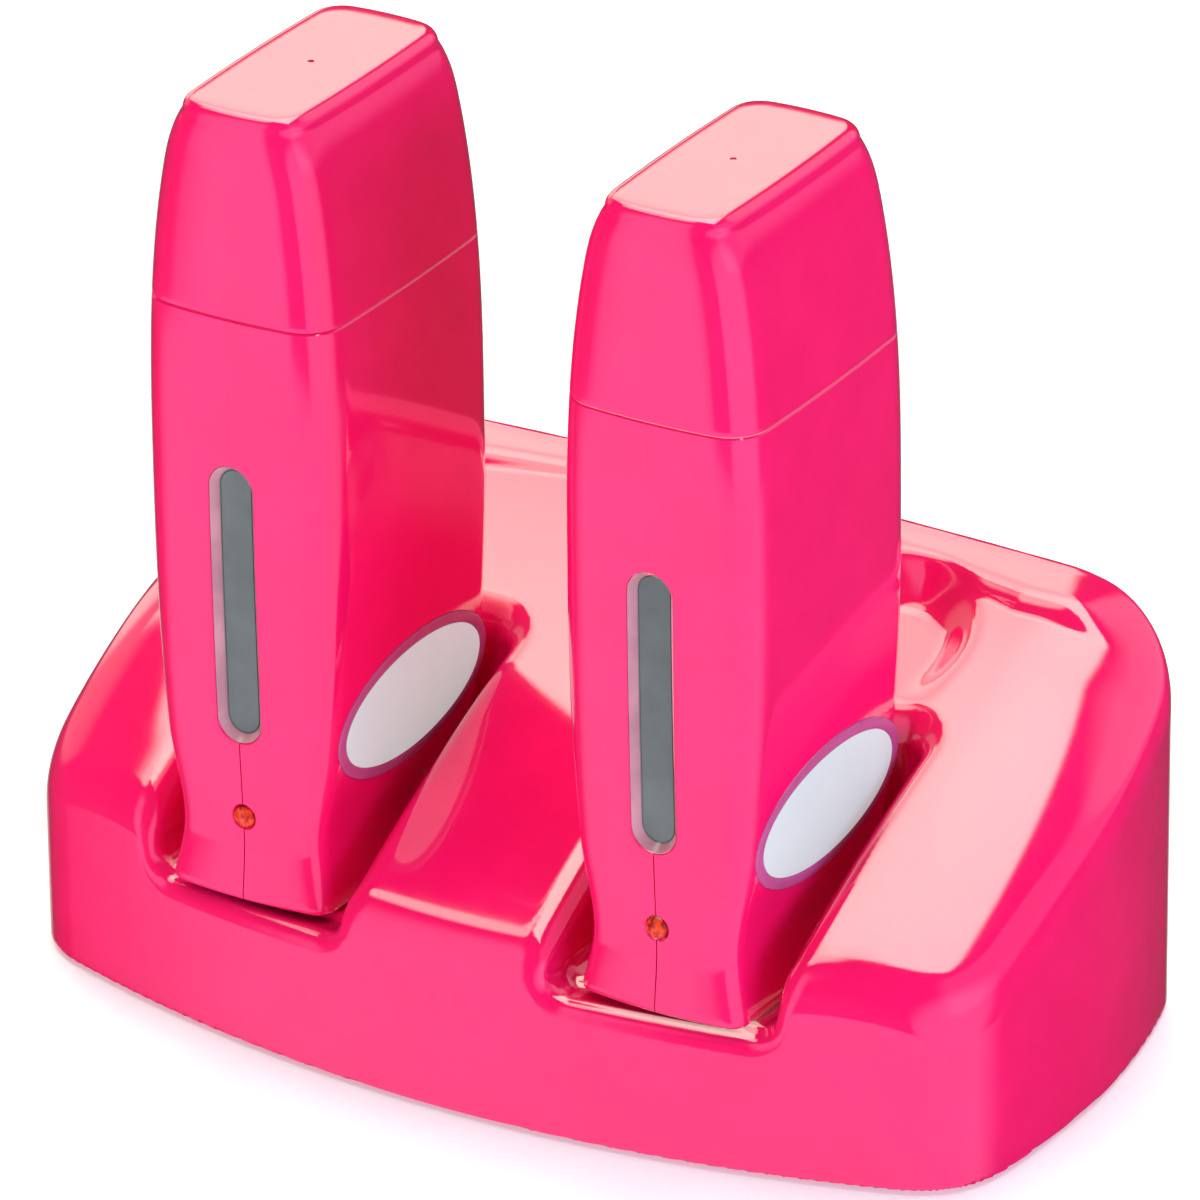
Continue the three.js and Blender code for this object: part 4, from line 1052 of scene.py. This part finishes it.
def make_camera():
    """A long lens that frames as much at the object as the photograph does."""
    a = math.radians(CAMERA_AZIMUTH)
    e = math.radians(CAMERA_ELEVATION)
    r = math.radians(CAMERA_ROLL)
    back = Vector((math.sin(a) * math.cos(e), -math.cos(a) * math.cos(e), math.sin(e)))
    right = Vector((math.cos(a), math.sin(a), 0.0))
    up = back.cross(right)
    turned_right = right * math.cos(r) + up * math.sin(r)
    turned_up = up * math.cos(r) - right * math.sin(r)
    data = bpy.data.cameras.new("camera")
    data.sensor_width = SENSOR_WIDTH
    data.lens = SENSOR_WIDTH * CAMERA_DISTANCE / FRAME_WIDTH
    data.clip_end = 50.0
    camera = bpy.data.objects.new("camera", data)
    rotation = Matrix((turned_right, turned_up, back)).transposed()
    camera.matrix_world = Matrix.Translation(CAMERA_TARGET + back * CAMERA_DISTANCE) @ rotation.to_4x4()
    bpy.context.scene.collection.objects.link(camera)
    bpy.context.scene.camera = camera


def make_floor():
    size = FLOOR_HALF_SIZE
    corners = [(-size, -size, 0), (size, -size, 0), (size, size, 0), (-size, size, 0)]
    floor = new_object("floor", corners, [(0, 1, 2, 3)])
    material, _, shader = new_material("floor")
    shader.inputs["Base Color"].default_value = (0.87, 0.92, 0.97, 1.0)
    shader.inputs["Roughness"].default_value = 0.6
    shader.inputs["Specular IOR Level"].default_value = 0.1
    shader.inputs["Emission Color"].default_value = (1.0, 1.0, 1.0, 1.0)
    shader.inputs["Emission Strength"].default_value = 0.25
    floor.data.materials.append(material)
    floor.visible_glossy = False


def towards(azimuth, elevation):
    """A direction away from the object; azimuth 0 is its front and 90 its right."""
    a = math.radians(azimuth)
    e = math.radians(elevation)
    return Vector((math.sin(a) * math.cos(e), -math.cos(a) * math.cos(e), math.sin(e)))


def make_light(name, azimuth, elevation, distance, size, power, colour):
    """A soft light that only fills in the shade: the studio's lamps make the reflections."""
    away = towards(azimuth, elevation)
    data = bpy.data.lights.new(name, "AREA")
    data.shape = "RECTANGLE"
    data.size, data.size_y = size
    data.energy = power
    data.color = colour
    light = bpy.data.objects.new(name, data)
    light.location = Vector((0.0, 0.0, 0.1)) + away * distance
    light.rotation_mode = "QUATERNION"
    light.rotation_quaternion = away.to_track_quat("Z", "Y")
    light.visible_glossy = False
    bpy.context.scene.collection.objects.link(light)


# Where the studio glows. Each lamp is a brightness, a colour and the borders round it: a direction
# as azimuth and elevation, and the cosines to it where the lamp starts and where it is full
PALE = (1.0, 1.0, 0.84)
ROSE = (1.0, 0.55, 0.95)
SOFTBOX = (
    (301.3, 24.7, 0.06, 0.12),
    (168.4, 21.5, 0.25, 0.29),
    (112.8, -12.8, -0.70, -0.665),
    (0.0, 90.0, 0.345, 0.385),
)
FRONT_STRIP = (
    (48.0, 0.0, -0.12, 0.12),
    (256.0, 0.0, -0.12, 0.12),
    (0.0, 90.0, -0.40, -0.37),
    (0.0, -90.0, -0.85, -0.65),
)
TABLE = (
    (0.0, -90.0, 0.37, 0.40),
    (25.0, 0.0, -0.25, 0.35),
)
RIGHT_STRIP = (
    (120.0, 20.0, 0.50, 0.65),
    (0.0, -90.0, -0.82, -0.74),
    (0.0, 90.0, -0.02, 0.12),
)
CORNER_STRIP = (
    (117.0, 0.0, 0.0, 0.04),
    (65.0, -10.0, 0.70, 0.90),
    (0.0, 90.0, -0.40, -0.37),
)
EDGE_LINE = (
    (280.0, 64.0, 0.966, 0.99),
    (348.4, -21.5, -0.29, -0.25),
)
LAMPS = (
    (2.1, PALE, SOFTBOX),
    (3.4, PALE, (*SOFTBOX, (0.0, 90.0, 0.6, 1.0))),
    (1.05, ROSE, FRONT_STRIP),
    (0.95, ROSE, TABLE),
    (0.5, ROSE, RIGHT_STRIP),
    (1.0, ROSE, CORNER_STRIP),
    (3.3, PALE, EDGE_LINE),
    (0.38, PALE, ((155.0, 35.0, 0.90, 0.95),)),
    (0.6, PALE, ((215.0, -38.0, 0.90, 0.97),)),
    (1.1, PALE, ((228.0, 8.0, 0.965, 0.985),)),
    (0.36, PALE, ((252.0, 12.0, 0.95, 0.99),)),
)
AMBIENT = 0.05


def border(tree, direction, azimuth, elevation, start, full):
    """A soft step across one border of a lamp."""
    near = tree.nodes.new("ShaderNodeVectorMath")
    near.operation = "DOT_PRODUCT"
    near.inputs[1].default_value = towards(azimuth, elevation)
    tree.links.new(direction, near.inputs[0])
    step = tree.nodes.new("ShaderNodeMapRange")
    step.interpolation_type = "SMOOTHSTEP"
    step.inputs["From Min"].default_value = start
    step.inputs["From Max"].default_value = full
    tree.links.new(near.outputs["Value"], step.inputs["Value"])
    return step.outputs["Result"]


def product(tree, first, second):
    node = tree.nodes.new("ShaderNodeMath")
    node.operation = "MULTIPLY"
    tree.links.new(first, node.inputs[0])
    tree.links.new(second, node.inputs[1])
    return node.outputs["Value"]


def with_glow(tree, total, share, colour):
    """The studio's light so far, or its ambient light, with one more lamp added."""
    node = tree.nodes.new("ShaderNodeVectorMath")
    node.operation = "MULTIPLY_ADD"
    tree.links.new(share, node.inputs[0])
    node.inputs[1].default_value = colour
    if total is None:
        node.inputs[2].default_value = (AMBIENT, AMBIENT, AMBIENT)
    else:
        tree.links.new(total, node.inputs[2])
    return node.outputs["Vector"]


def make_world():
    world = bpy.data.worlds.new("studio")
    world.use_nodes = True
    tree = world.node_tree
    direction = tree.nodes.new("ShaderNodeTexCoord").outputs["Generated"]
    total = None
    for brightness, colour, borders in LAMPS:
        share = border(tree, direction, *borders[0])
        for edge in borders[1:]:
            share = product(tree, share, border(tree, direction, *edge))
        total = with_glow(tree, total, share, Vector(colour) * brightness)
    tree.links.new(total, tree.nodes["Background"].inputs["Color"])
    bpy.context.scene.world = world


def make_studio():
    make_world()
    make_light("front_fill", 350.0, 8.0, 2.5, (2.0, 0.6), 32.0, (1.0, 1.0, 1.0))
    make_light("right_fill", 80.0, 10.0, 2.5, (2.0, 0.6), 42.0, (0.45, 0.6, 0.92))
    bpy.context.scene.view_settings.view_transform = "Standard"


make_camera()
dress_cad_nodes()
make_base()
for handset in SIDES:
    make_handset(handset)
make_floor()
make_studio()
